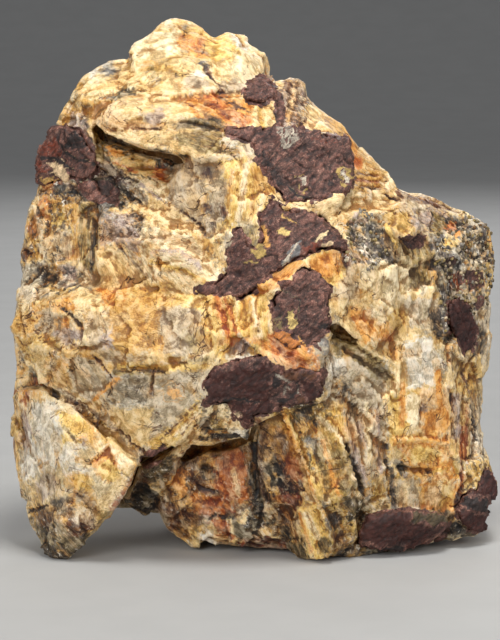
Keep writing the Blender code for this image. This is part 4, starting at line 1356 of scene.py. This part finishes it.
crumbs = {
    "density": 600000.0,    # grains on a square metre
    "quickShare": 0.3,
    "size": 0.00066,
    "granular": 0.85,       # grains lie where the stone is more granular than this
    "seed": 7,
    "thinnest": (0.7, 0.7, 0.7),
    "thickest": (1.9, 1.6, 1.4),
    "paleMix": 0.15,
    # share of the grains up to which the tone before ends, and the next one starts
    "tones": ((0.14, "darkGrey"), (0.26, "darkOlive"), (0.38, "blueGrey"), (0.52, "olive"),
              (0.64, "brown"), (0.72, "smoky"), (0.84, "grey"), (0.93, "beige")),
}


def crumbTree(material):
    # small grains of mineral sown over the granular parts
    group = bpy.data.node_groups.new("crumbsOnStone", "GeometryNodeTree")
    face = group.interface
    face.new_socket(name="Stone", in_out="INPUT", socket_type="NodeSocketGeometry")
    for name in ("Density", "Size", "Granular"):
        face.new_socket(name=name, in_out="INPUT", socket_type="NodeSocketFloat")
    face.new_socket(name="Seed", in_out="INPUT", socket_type="NodeSocketInt")
    face.new_socket(name="Crumbs", in_out="OUTPUT", socket_type="NodeSocketGeometry")
    t = Tree(group)
    given = t.add("NodeGroupInput").outputs
    speckle = t.add("GeometryNodeInputNamedAttribute", data_type="FLOAT")
    t.fill(speckle, {"Name": "speckle"})
    chosen = t.add("FunctionNodeCompare", operation="GREATER_THAN")
    t.fill(chosen, {"A": speckle.outputs["Attribute"], "B": given["Granular"]})
    sow = t.add("GeometryNodeDistributePointsOnFaces")
    t.fill(sow, {"Mesh": given["Stone"], "Selection": chosen.outputs["Result"],
                 "Density": given["Density"], "Seed": given["Seed"]})
    grain = t.fill(t.add("GeometryNodeMeshIcoSphere"), {"Radius": 0.5})
    turn = t.add("FunctionNodeRandomValue", data_type="FLOAT_VECTOR")
    t.fill(turn, {"Max": (6.28, 6.28, 6.28), "Seed": given["Seed"]})
    stretch = t.add("FunctionNodeRandomValue", data_type="FLOAT_VECTOR")
    t.fill(stretch, {"Min": crumbs["thinnest"], "Max": crumbs["thickest"]})
    sized = t.add("ShaderNodeVectorMath", operation="SCALE")
    t.put(sized.inputs[0], stretch.outputs["Value"])
    t.fill(sized, {"Scale": given["Size"]})
    place = t.add("GeometryNodeInstanceOnPoints")
    t.fill(place, {"Points": sow.outputs["Points"], "Instance": grain.outputs["Mesh"],
                   "Rotation": turn.outputs["Value"], "Scale": sized.outputs[0]})
    shade = t.add("FunctionNodeRandomValue", data_type="FLOAT")
    shadeValue = [output for output in shade.outputs if output.enabled][0]
    store = t.add("GeometryNodeStoreNamedAttribute", data_type="FLOAT", domain="INSTANCE")
    t.fill(store, {"Name": "shade", "Geometry": place.outputs["Instances"]})
    t.put(store.inputs["Value"], shadeValue)
    whole = t.fill(t.add("GeometryNodeRealizeInstances"), {"Geometry": store.outputs["Geometry"]})
    paint = t.add("GeometryNodeSetMaterial")
    t.fill(paint, {"Material": material, "Geometry": whole.outputs["Geometry"]})
    t.fill(t.add("NodeGroupOutput"), {"Crumbs": paint.outputs["Geometry"]})
    return group


def crumbMaterial():
    n = Finish("crumbMineral")
    shade = n.attribute("shade")
    base = colour("black")
    for low, tone in crumbs["tones"]:
        base = n.mix(n.ramp(shade, low, low + 0.01), base, colour(tone))
    base = n.mix(crumbs["paleMix"], base, colour("straw"))
    base = n.scaled(base, n.ramp(n.noise(n.place, 3000.0), 0.3, 0.7, 0.6, 0.95))
    n.fill(n.shader, {"Base Color": base, "Roughness": 0.42})
    return n.material


def sowCrumbs(stone):
    piece = placed("mineralCrumbs", stone.data.copy())
    sown = piece.modifiers.new("crumbs", "NODES")
    sown.node_group = crumbTree(crumbMaterial())
    density = crumbs["density"] * 1.0
    values = {"Density": density, "Size": crumbs["size"], "Granular": crumbs["granular"],
              "Seed": crumbs["seed"]}
    for item in sown.node_group.interface.items_tree:
        if item.in_out == "INPUT" and item.name in values:
            sown[item.identifier] = values[item.name]
    bake(piece)
    movePoints(piece.data, meshArrays(piece.data)[0])
    print("crumbs", len(piece.data.polygons), "triangles")
    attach(piece, "root")


def skirtThorite(work):
    # thorite runs a little way out over the stone round each mass
    corners = []
    sides = []
    for node in thoritePainting:
        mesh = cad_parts[node].data
        start = len(corners)
        corners += [vertex.co.copy() for vertex in mesh.vertices]
        sides += [[start + index for index in face.vertices] for face in mesh.polygons]
    masses = BVHTree.FromPolygons(corners, sides)
    reach = stoneLook["thoriteReach"]
    fade = stoneLook["thoriteFade"]
    away = np.full(len(work.places), 1.0)
    for index, place in enumerate(work.places):
        found = masses.find_nearest(place, reach * 3.0)
        if found[0] is not None:
            away[index] = found[3]
    away += layered(work.places, 0.0016, 51, 3) * reach * 0.5
    away += shards(work.places, 0.0021, 52)[0] * reach * 0.8
    skirt = 1.0 - smoothStep(away, reach - fade, reach + fade)
    work.crust = np.maximum(work.crust, skirt)


def triangleCount(mesh):
    return sum(len(polygon.vertices) - 2 for polygon in mesh.polygons)


def stoneSkin():
    # the matrix in an even skin, thinned on its hidden sides alone
    stone = copyOf("matrix", "stoneMatrix")
    reskin(stone, stoneLook)
    triangles = triangleCount(stone.data)
    if triangles > stoneLook["triangles"]:
        places, normals = meshArrays(stone.data)
        across, down, depth = onMap(places)
        hidden = np.nonzero(facing(places, normals, depth, across, down) < 0.5)[0]
        hiddenGroup = stone.vertex_groups.new(name="hiddenSide")
        hiddenGroup.add([int(index) for index in hidden], 1.0, "REPLACE")
        thin = stone.modifiers.new("thin", "DECIMATE")
        thin.ratio = stoneLook["triangles"] / triangles
        thin.vertex_group = hiddenGroup.name
        thin.vertex_group_factor = 1.0
        bake(stone)
    print("stone skin", len(stone.data.vertices), "points", triangleCount(stone.data), "triangles")
    return stone


def stairs(places, grain):
    # stairs of cleavage across the fibres: a slow rise and a quick fall, -0.5 to 0.5
    bend = layered(places, stoneLook["stairSize"], 13, 3) * stoneLook["stairBend"]
    stair = grain[:, 1] / metre / stoneLook["stairSpacing"] + bend
    stair = stair - np.floor(stair)
    run = stoneLook["stairRun"]
    return np.where(stair < run, stair / run, (1.0 - stair) / (1.0 - run)) - 0.5


def shapeStone(work, bases, chosen):
    # relief: swell, stairs of cleavage, fibres, grit and carving
    look = stoneLook
    places = work.places
    grain = grainPlaces(places, bases, chosen)
    work.lines = swirl(grain, 0.9, 11) + 0.6 * swirl(grain, 0.42, 12)
    for stroke in carving + calming:
        stroke(work)
    move = layered(places, look["swellSize"], 14, 3) * look["swell"]
    move += layered(places, look["roughSize"], 15, 2) * look["roughness"] * (0.6 + work.speckle)
    move += work.lines * look["fibreHeight"] * work.fibre
    move += stairs(places, grain) * look["stairHeight"] * work.fibre * (1.0 - 0.7 * work.speckle)
    bent = bentPlaces(places, look["bendSize"], 21, look["bend"])
    blades, work.bladeLevel = shards(grainPlaces(bent, bases, chosen), look["bladeSize"], 1)
    facets, work.facetLevel = shards(bent, look["facetSize"], 2)
    chips, work.chipLevel = shards(bent, look["chipSize"], 3)
    move += blades * look["bladeHeight"] * (0.3 + 0.7 * work.fibre)
    move += facets * look["facetHeight"]
    move += chips * look["chipHeight"] * (0.35 + work.speckle)
    pits = smoothStep(swirl(places, look["pitSize"], 16), 0.35, 0.6)
    move -= pits * look["pitDepth"] * work.speckle
    move *= 1.0 - work.calm
    move += work.lift / metre
    return movePoints(work.mesh, places + work.normals * move[:, None])


def paintStone(work, chosen):
    # strokes follow the fibres, and what they leave free keeps the colour of the crystals
    work.fibre = work.fibre * (1.0 - stoneLook["calmFibre"] * work.calm)
    angles = [crystal[2] for crystal in crystals] + [0] * hiddenCrystals["count"]
    turns = np.radians(np.array(angles))[chosen]
    smear = (work.lines * 0.7 + work.bladeLevel * 0.6) * stoneLook["streakReach"]
    smear *= np.minimum(work.fibre, 1.2)
    work.warpAcross += np.cos(turns) * smear
    work.warpDown += np.sin(turns) * smear
    paintHidden(work, chosen)
    for stroke in painting + crusting:
        stroke(work)
    skirtThorite(work)


def makeStone():
    stone = stoneSkin()
    mesh = stone.data
    work = Work(mesh)
    chosen = chooseCrystals(work)
    bases, fibres, grains = allCrystals()
    work.fibre = fibres[chosen]
    work.speckle = grains[chosen]
    moved = shapeStone(work, bases, chosen)

    # hollows get painted shade and edges a painted highlight, from how far each point lies under the
    # smoothed surface
    even = smoothed(mesh, moved, stoneLook["hollowRounds"])
    hollow = hollowness(mesh, even, moved, fineHollow)
    wide = smoothed(mesh, even, stoneLook["broadRounds"])
    broad = hollowness(mesh, wide, moved, broadHollow)
    share = stoneLook["hiddenShare"] + (1.0 - stoneLook["hiddenShare"]) * work.front
    paintStone(work, chosen)
    level = work.bladeLevel * 0.6 + (work.chipLevel * 0.3 + work.facetLevel * 0.3) * share
    storePoints(mesh, {
        "stone": work.stone, "stain": work.stain, "cover": work.cover, "crust": work.crust,
        "level": np.clip(level, -1, 1),
        "hollow": np.clip((hollow * 0.6 + broad * 0.5) * share, -1.5, 1.5),
        "fibre": work.fibre, "speckle": work.speckle,
    })
    storeGrain(mesh, work.places, bases, chosen)
    dress(mesh, stoneMaterial())
    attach(stone, "root")
    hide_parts("matrix")
    print("stone painted")
    return stone


# The thorite's skin, with sizes and heights in metres.
thoriteLook = {
    "skin": 0.00030,
    "quickSkin": 0.0006,
    "grow": 0.00040,
    "raggedSize": 0.0022,
    "ragged": 0.00032,
    "teethSize": 0.0016,
    "teeth": 0.00048,
    "facetSize": 0.0034,
    "facet": 0.00026,
    "wrinkleSize": 0.0007,
    "wrinkle": 0.00010,
    "wrinkleTurn": math.radians(40.0),
    "wrinkleDrawn": 0.35,       # length of a wrinkle's pattern along it, as a share of across
    "gritSize": 0.0008,
    "grit": 0.00015,
    "pitSize": 0.0012,
    "pit": 0.00018,
    "sink": 0.00012,
    "hollowRounds": 6,
    # its finish
    "dark": (0.062, 0.023, 0.017, 1.0),
    "chocolate": (0.135, 0.058, 0.042, 1.0),
    "pale": (0.27, 0.145, 0.105, 1.0),
    "nearBlack": (0.014, 0.006, 0.007, 1.0),
    "wrinkleStretch": (2.6, 1.0, 0.8),
    "stainShare": 0.88,
    "roughness": (0.32, 0.66),
    "specular": 0.45,
    "bump": 0.9,
    "bumpHeight": 0.0003,
}


def thoriteWrinkles(n):
    # fine wrinkles that run up to the right
    turned = n.add("ShaderNodeMapping", vector_type="TEXTURE")
    n.fill(turned, {"Vector": n.place, "Rotation": (0.0, -thoriteLook["wrinkleTurn"], 0.0),
                    "Scale": thoriteLook["wrinkleStretch"]})
    return n.noise(turned.outputs[0], 950.0, 6.0, 0.65, 0.7)


def thoriteTone(n, hollow):
    # dark chocolate grains with paler and near-black ones
    look = thoriteLook
    wrinkles = thoriteWrinkles(n)
    grain = n.noise(n.place, 1700.0, 5.0, 0.7, 0.8)
    fine = n.noise(n.place, 4200.0, 3.0, 0.65)
    cloud = n.noise(n.place, 300.0, 4.0, 0.65)
    base = n.mix(n.ramp(cloud, 0.35, 0.65), look["dark"], look["chocolate"])
    base = n.mix(n.ramp(grain, 0.52, 0.66, 0.0, 0.8), base, look["pale"])
    base = n.mix(n.ramp(grain, 0.32, 0.46, 0.80, 0.0), base, look["nearBlack"])
    # darker in hollows as painted shade, and paler on edges as a painted highlight
    light = n.times(n.ramp(hollow, 0.1, 1.1, 1.0, 0.45), n.ramp(fine, 0.32, 0.68, 0.55, 1.45))
    light = n.times(light, n.ramp(hollow, -0.9, -0.1, 1.35, 1.0))
    light = n.times(light, n.ramp(wrinkles, 0.36, 0.62, 0.40, 1.40))
    return n.scaled(base, light)


# The stone's finish. A noise on the whole stone has its scale in lumps to a metre, one on a
# crystal in lumps to its own drawn-out millimetre.
stoneFinish = {
    "lines": 1.6,
    "fineLines": 5.0,
    "veins": 0.8,
    "hairs": 2.6,
    "fine": 1900.0,
    "cloud": 260.0,
    "flakes": 420.0,
    "gold": 130.0,
    "smoke": 150.0,
    "smokeShift": (0.31, 0.17, 0.53),
    "glassy": 190.0,
    "cracks": 110.0,
    "darkGrains": 900.0,
    "whiteGrains": 1200.0,
    "peppering": 2600.0,
    "stoneClouds": 0.9,         # share of the clouds on the bare stone
    "stainClouds": 0.30,        # and on the stains
    "veinShare": 0.40,
    "paleShare": 0.24,
    "tint": (1.0, 0.965, 0.90, 1.0),
    "roughness": (0.28, 0.60),
    "specular": 0.4,
    "subsurface": 0.05,
    "subsurfaceReach": (0.0014, 0.0009, 0.0005),
    "bump": 0.85,
    "bumpHeight": 0.00035,
}


class StonePatterns:
    # the stored values and the noises that the stone's colour and relief share
    def __init__(self, n):
        look = stoneFinish
        self.grain = n.attribute("grain", "Vector")
        self.fibre = n.attribute("fibre")
        self.speckle = n.attribute("speckle")
        self.hollow = n.attribute("hollow")
        self.fineLines = n.noise(self.grain, look["fineLines"], 3.0, 0.6)
        self.fine = n.noise(n.place, look["fine"], 4.0, 0.7)
        self.flakes = n.noise(n.place, look["flakes"], 6.0, 0.65, 0.9)
        # lines along the fibres where they are strong, and flakes where they are weak
        lines = n.math("SUBTRACT", n.noise(self.grain, look["lines"], 5.0, 0.65), self.flakes)
        self.lines = n.plus(self.flakes, n.times(lines, n.ramp(self.fibre, 0.15, 0.9)))
        # gold and smoky clouds that follow the fibres
        drawn = n.swing(self.lines, 0.6)
        self.gold = n.plus(n.noise(n.place, look["gold"], 5.0, 0.65, 1.2), drawn)
        shifted = n.fill(n.add("ShaderNodeMapping"), {
            "Location": look["smokeShift"], "Vector": n.place}).outputs[0]
        self.smoke = n.plus(n.noise(shifted, look["smoke"], 5.0, 0.65, 1.2), drawn)
        # fine dark cracks
        crack = n.fromMiddle(n.noise(shifted, look["cracks"], 4.0, 0.55, 0.8))
        self.crack = n.times(n.ramp(crack, 0.002, 0.008, 0.85, 0.0), n.ramp(self.gold, 0.46, 0.56))


def clouded(n, p, tone, amount):
    # gold, smoky and pale clouds over a colour
    tone = n.mix(n.ramp(p.gold, 0.48, 0.62, 0.0, 0.90 * amount), tone, colour("ochre"))
    tone = n.mix(n.ramp(p.gold, 0.60, 0.72, 0.0, 0.80 * amount), tone, colour("amber"))
    tone = n.mix(n.ramp(p.smoke, 0.52, 0.68, 0.0, 0.75 * amount), tone, colour("smoky"))
    return n.mix(n.ramp(p.smoke, 0.48, 0.34, 0.0, 0.6 * amount), tone, colour("white"))


def stainedStone(n, p):
    # the crystals' colours under the stains, whose edges are crisp and broken
    cover = n.attribute("cover")
    drift = n.plus(n.swing(p.lines, 1.2), n.swing(p.fine, 0.8))
    drift = n.times(drift, n.ramp(cover, 0.0, 0.35))
    share = n.ramp(n.plus(cover, drift), 0.18, 0.66)
    stone = clouded(n, p, n.attribute("stone", "Color"), stoneFinish["stoneClouds"])
    stain = clouded(n, p, n.attribute("stain", "Color"), stoneFinish["stainClouds"])
    return n.mix(share, stone, stain)


def veinedStone(n, p, base):
    # iron drawn out along the fibres, pale fibres between, glassy spots and dark cracks
    look = stoneFinish
    vein = n.ramp(n.noise(p.grain, look["veins"], 6.0, 0.75), 0.50, 0.72)
    vein = n.times(vein, n.times(p.fibre, look["veinShare"]), clamp=True)
    base = n.mix(vein, base, colour("amber"))
    pale = n.ramp(p.fineLines, 0.56, 0.72)
    pale = n.times(pale, n.times(p.fibre, look["paleShare"]), clamp=True)
    base = n.mix(pale, base, colour("paleCream"))
    cloud = n.ramp(n.noise(n.place, look["cloud"], 3.0, 0.6), 0.30, 0.80, 0.0, 0.14)
    base = n.mix(cloud, base, colour("smoky"), "MULTIPLY")
    glassy = n.ramp(n.noise(n.place, look["glassy"], 5.0, 0.7, 0.8), 0.52, 0.66, 0.0, 0.16)
    base = n.mix(glassy, base, colour("paleGrey"))
    return n.mix(p.crack, base, colour("brown"), "MULTIPLY")


def grainyStone(n, p, base):
    # grains of dark and of white mineral in the granular parts, and fine pepper everywhere
    look = stoneFinish
    darkGrain = n.ramp(n.noise(n.place, look["darkGrains"], 2.0, 0.5), 0.53, 0.60)
    base = n.mix(n.times(darkGrain, p.speckle), base, colour("darkGrey"))
    whiteGrain = n.ramp(n.noise(n.place, look["whiteGrains"], 2.0, 0.5, 1.0), 0.62, 0.68)
    base = n.mix(n.times(whiteGrain, p.speckle), base, colour("white"))
    pepper = n.ramp(n.noise(n.place, look["peppering"], 2.0, 0.5), 0.62, 0.74, 0.0, 0.30)
    base = n.mix(pepper, base, colour("brown"), "MULTIPLY")
    # each blade and chip has a shade of its own
    level = n.attribute("level")
    base = n.mix(n.ramp(level, 0.1, 0.7, 0.0, 0.28), base, colour("paleCream"))
    return n.mix(n.ramp(level, -0.6, -0.1, 0.35, 0.0), base, colour("yellow"), "MULTIPLY")


def fibresAndPaintedShade(n, p, base):
    # light and dark of the fibres, painted shade in hollows, warmed with amber, and a painted highlight
    # on edges
    hair = n.fromMiddle(n.noise(p.grain, stoneFinish["hairs"], 3.0, 0.6, 0.3))
    hair = n.times(n.ramp(hair, 0.0, 0.030, 0.42, 0.0), n.ramp(p.fibre, 0.0, 1.0, 0.35, 1.0))
    base = n.mix(hair, base, colour("deepOrange"), "MULTIPLY")
    broken = n.plus(n.times(p.lines, 0.5), n.times(p.flakes, 0.5))
    depth = n.ramp(broken, 0.37, 0.63, 1.95, 0.72)
    # the hollow ramps darken hollows as painted shade and lighten edges as a painted highlight
    for pattern, low, high, atLow, atHigh in (
            (p.fineLines, 0.32, 0.68, 1.25, 0.86), (p.fine, 0.30, 0.70, 1.22, 0.90),
            (p.hollow, 0.1, 1.1, 1.0, 1.85), (p.hollow, -0.9, -0.1, 0.70, 1.0)):
        depth = n.times(depth, n.ramp(pattern, low, high, atLow, atHigh))
    rich = n.add("ShaderNodeGamma")
    n.fill(rich, {"Color": n.mix(1.0, base, stoneFinish["tint"], "MULTIPLY"),
                  "Gamma": n.ramp(depth, 0.4, 2.6, 0.83, 1.55)})
    base = n.scaled(rich.outputs[0], n.ramp(depth, 0.4, 2.8, 1.22, 0.54))
    # a warm amber painted shade in the hollows
    return n.mix(n.ramp(p.hollow, 0.1, 1.0, 0.0, 0.35), base, colour("amber"), "MULTIPLY")


def stoneMaterial():
    look = stoneFinish
    n = Finish("stainedFeldspar")
    p = StonePatterns(n)
    base = stainedStone(n, p)
    base = veinedStone(n, p, base)
    base = grainyStone(n, p, base)
    base = fibresAndPaintedShade(n, p, base)
    crust = n.plus(n.attribute("crust"), n.swing(p.lines, 0.8))
    base = n.mix(n.ramp(crust, 0.42, 0.58), base, thoriteTone(n, p.hollow))
    n.fill(n.shader, {
        "Base Color": base,
        "Roughness": n.ramp(p.lines, 0.3, 0.7, *look["roughness"]),
        "Specular IOR Level": look["specular"],
        "Subsurface Weight": look["subsurface"],
        "Subsurface Radius": look["subsurfaceReach"],
        "Subsurface Scale": 1.0,
    })
    height = n.plus(n.times(p.lines, p.fibre), n.times(p.fineLines, 0.4))
    height = n.plus(height, n.times(p.fine, 0.35))
    height = n.math("SUBTRACT", height, n.times(p.crack, 0.8))
    n.roughen(height, look["bump"], look["bumpHeight"])
    return n.material


thoritePainting = {
    "thorite_upper": [
        patch("grey", 275,131, 292,127, 299,138, 292,149, 280,147, full=0.7),
        streak("paleGrey", 2, 282,132, 290,146),
        streak("paleGrey", 2, 294,130, 284,148),
        patch("redBrown", 308,138, 346,141, 346,145, 310,144, full=0.6),
        patch("black", 256,150, 264,150, 286,186, 276,190, full=0.7),
        patch("moss", 295,177, 302,173, 309,182, 307,194, 297,192),
        patch("paleGrey", 298,180, 305,177, 307,185, 301,190),
        patch("moss", 339,169, 350,168, 351,185, 341,184),
        streak("paleGrey", 3, 342,172, 347,182),
        streak("black", 3, 288,186, 298,196, 312,198),
        blot("black", 326, 335, 181, 189),
    ],
    "thorite_branching": [
        patch("liver", 262,196, 276,200, 300,214, 262,262, 232,290, 230,262, full=0.6),
        patch("redBrown", 300,246, 320,240, 326,250, 302,262, full=0.7),
        patch("cream", 315,239, 321,233, 327,233, 324,240, 317,244, soft=1.2),
        streak("peach", 3, 322,246, 332,243),
        patch("amber", 255,228, 262,225, 270,236, 269,246, 262,244, soft=1.2),
        patch("yellow", 276,231, 283,227, 289,233, 283,238, soft=1.2),
        patch("blueGrey", 280,262, 288,251, 300,240, 299,251, 291,265, 283,267, soft=1.2),
        streak("paleGrey", 2, 283,264, 291,253, 297,243),
        patch("moss", 246,240, 253,232, 262,244, 267,254, 257,259, 250,251, soft=1.2),
        patch("smoky", 224,240, 231,234, 236,238, 234,250, 227,250, soft=1.2),
        streak("ochre", 2, 282,216, 296,224),
        streak("moss", 2, 244,262, 258,262),
        patch("amber", 300,264, 316,254, 334,250, 338,258, 316,266, soft=1.2),
    ],
    "thorite_middle": [
        patch("yellow", 287,314, 293,312, 296,322, 291,328, 287,324, soft=1.2),
        blot("black", 316, 328, 322, 332),
        blot("olive", 274, 284, 316, 330, full=0.6),
        streak("black", 2, 282,290, 300,300, 296,318),
        patch("deepOrange", 274,331, 290,332, 302,342, 306,352, 288,352, 274,342),
        streak("amber", 2, 298,336, 306,348),
    ],
    "thorite_lower": [
        patch("liver", 206,370, 270,362, 272,410, 236,424, 206,404, full=0.8),
        streak("black", 3, 212,404, 232,398, 262,402),
        patch("brown", 272,372, 318,372, 318,400, 274,402),
        patch("black", 272,372, 286,380, 302,384, 296,398, 276,402, full=0.8),
        streak("grey", 2, 276,374, 290,382, 300,392),
        blot("grey", 280, 292, 386, 394, full=0.6),
        patch("liver", 300,378, 316,378, 318,394, 304,398),
        patch("peach", 235,410, 239,411, 239,422, 235,420, soft=1.5),
    ],
    "thorite_foot": [
        patch("liver", 350,500, 470,500, 470,562, 350,562),
        patch("darkOlive", 412,514, 452,518, 450,526, 414,522),
        patch("black", 362,543, 404,548, 404,556, 362,552),
    ],
    "thorite_right": [
        patch("liver", 440,290, 484,290, 484,370, 440,370),
    ],
    "thorite_left": [
        patch("redBrown", 36,146, 60,134, 66,150, 56,186, 36,186, full=0.7),
        patch("black", 64,130, 86,132, 88,150, 66,150, full=0.8),
        streak("black", 3, 58,136, 66,152, 80,160, 96,164),
        patch("lilac", 72,122, 84,122, 92,136, 92,150, 84,140),
        streak("olive", 3, 86,140, 98,156),
        patch("peach", 48,162, 60,160, 71,166, 68,180, 52,178),
        patch("ochre", 42,176, 56,178, 70,182, 60,188, 42,188),
        streak("black", 3, 44,158, 56,158, 74,170),
    ],
    "thorite_top": [],
    "thorite_corner": [
        patch("liver", 452,460, 500,460, 500,545, 452,545),
        patch("black", 464,496, 488,496, 486,510, 466,512),
    ],
}


def thoriteMaterial():
    look = thoriteLook
    n = Finish("thoriteBrown")
    grain = n.noise(n.place, 1500.0, 5.0, 0.7, 0.6)
    fine = n.noise(n.place, 4000.0, 3.0, 0.65)
    cover = n.attribute("cover")
    share = n.ramp(n.plus(cover, n.swing(grain, 1.9)), 0.45, 0.75)
    share = n.times(n.times(share, n.ramp(cover, 0.02, 0.45)), look["stainShare"])
    wrinkles = thoriteWrinkles(n)
    shade = n.times(n.ramp(wrinkles, 0.36, 0.60, 0.45, 1.15), n.ramp(fine, 0.3, 0.7, 0.70, 1.15))
    stain = n.scaled(n.attribute("stain", "Color"), shade)
    n.fill(n.shader, {
        "Base Color": n.mix(share, thoriteTone(n, n.attribute("hollow")), stain),
        "Roughness": n.ramp(fine, 0.3, 0.7, *look["roughness"]),
        "Specular IOR Level": look["specular"],
    })
    height = n.plus(n.times(grain, 0.5), n.times(fine, 0.4))
    height = n.plus(height, n.times(wrinkles, 1.2))
    n.roughen(height, look["bump"], look["bumpHeight"])
    return n.material


def shapeThorite(work):
    # a hackly, wrinkled skin, and a ragged edge that grows sideways over the stone
    look = thoriteLook
    places = work.places
    ragged = layered(places, look["raggedSize"], 41, 3)
    teeth = shards(places, look["teethSize"], 44)[0]
    sideways = work.normals + np.outer(-(work.normals @ backWay), backWay)
    move = shards(places, look["gritSize"], 42)[0] * look["grit"]
    move += shards(places, look["facetSize"], 45)[0] * look["facet"]
    move -= smoothStep(swirl(places, look["pitSize"], 43), 0.3, 0.6) * look["pit"]
    turn = look["wrinkleTurn"]
    along = places[:, 0] * math.cos(turn) + places[:, 2] * math.sin(turn)
    over = places[:, 2] * math.cos(turn) - places[:, 0] * math.sin(turn)
    drawn = np.stack([along * look["wrinkleDrawn"], places[:, 1], over], 1)
    move += swirl(drawn, look["wrinkleSize"], 46) * look["wrinkle"]
    spread = look["grow"] + ragged * look["ragged"] + teeth * look["teeth"]
    moved = places + work.normals * move[:, None] + sideways * np.maximum(spread, 0.0)[:, None]
    return movePoints(work.mesh, moved + backWay * look["sink"])


def makeThorite(node, material):
    piece = copyOf(node, node + "_grown")
    reskin(piece, thoriteLook)
    mesh = piece.data
    work = Work(mesh)
    moved = shapeThorite(work)
    # how far each point lies in a hollow or on an edge, for the painted shade and painted highlight
    even = smoothed(mesh, moved, thoriteLook["hollowRounds"])
    hollow = hollowness(mesh, even, moved, fineHollow)
    for stroke in thoritePainting[node]:
        stroke(work)
    storePoints(mesh, {"stain": work.stain, "cover": work.cover, "hollow": np.clip(hollow, -1.5, 1.5)})
    dress(mesh, material)
    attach(piece, "root")
    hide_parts(node)


stonePiece = makeStone()
sowCrumbs(stonePiece)
brown = thoriteMaterial()
for node in sorted(thoritePainting):
    makeThorite(node, brown)
print("thorite made")


# The studio: lengths in metres, power in watts.
studio = {
    "floorReach": 1.0,
    "floorSides": 96,
    "sweepRadius": 1.0,
    "sweepTurn": math.radians(45.0),
    "sweepSteps": 16,
    "floorTone": (0.40, 0.40, 0.395),
    "worldTone": (0.60, 0.61, 0.63, 1.0),
    "worldStrength": 0.34,
    "sensor": 36.0,             # millimetres
    # name, place, size, power and tone of each lamp
    "lamps": (
        ("highSoftbox", (0.06, -0.14, 0.55), (0.16, 0.16), 2.5, (1.0, 0.985, 0.95)),
        ("frontFill", (-0.30, -0.60, 0.30), (0.36, 0.36), 3.2, (1.0, 0.99, 0.97)),
        ("rightFill", (0.45, -0.30, 0.22), (0.25, 0.35), 0.8, (1.0, 1.0, 1.0)),
        ("backFill", (0.10, 0.62, 0.40), (0.45, 0.35), 1.6, (1.0, 1.0, 1.0)),
    ),
}


def makeFloor():
    # a round flat floor that sweeps up softly far from the stone, on every side
    rings = [(studio["floorReach"], 0.0)]
    for step in range(1, studio["sweepSteps"] + 1):
        turn = studio["sweepTurn"] * step / studio["sweepSteps"]
        reach = studio["sweepRadius"]
        rings.append((studio["floorReach"] + math.sin(turn) * reach, (1 - math.cos(turn)) * reach))
    count = studio["floorSides"]
    turns = [2 * math.pi * side / count for side in range(count)]
    corners = [(0.0, 0.0, 0.0)]
    corners += [(math.cos(turn) * out, math.sin(turn) * out, up) for out, up in rings for turn in turns]
    sides = [(0, 1 + i, 1 + (i + 1) % count) for i in range(count)]
    for ring in range(len(rings) - 1):
        inner = 1 + ring * count
        outer = inner + count
        sides += [(inner + i, outer + i, outer + (i + 1) % count, inner + (i + 1) % count)
                  for i in range(count)]
    mesh = bpy.data.meshes.new("studioFloor")
    mesh.from_pydata(corners, [], sides)
    n = Finish("paleFloor")
    tint = n.ramp(n.noise(n.place, 60.0), 0.3, 0.7, 0.98, 1.02)
    n.fill(n.shader, {"Base Color": n.scaled(studio["floorTone"], tint), "Roughness": 0.85})
    dress(mesh, n.material)
    floor = placed("studioFloor", mesh)


def turnTo(item, way):
    item.rotation_mode = "QUATERNION"
    item.rotation_quaternion = way.to_track_quat("-Z", "Y")


def addLamp(name, place, size, power, tone):
    lamp = bpy.data.lights.new(name, "AREA")
    lamp.shape = "RECTANGLE"
    lamp.size, lamp.size_y = size
    lamp.energy = power
    lamp.color = tone
    item = placed(name, lamp)
    item.location = place
    turnTo(item, sightMap["target"] - Vector(place))


def makeCamera():
    lens = bpy.data.cameras.new("viewOfTheFront")
    lens.sensor_width = studio["sensor"]
    frameHeight = sightMap["rows"] * sightMap["step"]
    lens.lens = studio["sensor"] * sightMap["distance"] / frameHeight
    lens.clip_start = 0.01
    lens.clip_end = 10.0
    camera = placed("viewOfTheFront", lens)
    camera.location = eye
    turnTo(camera, toBack)
    bpy.context.scene.camera = camera


makeFloor()
makeCamera()
for lamp in studio["lamps"]:
    addLamp(*lamp)
world = bpy.data.worlds.new("studioAir")
world.use_nodes = True
air = world.node_tree.nodes["Background"]
air.inputs["Color"].default_value = studio["worldTone"]
air.inputs["Strength"].default_value = studio["worldStrength"]
bpy.context.scene.world = world
bpy.context.scene.view_settings.view_transform = "Standard"
print("floor, lamps and camera placed")
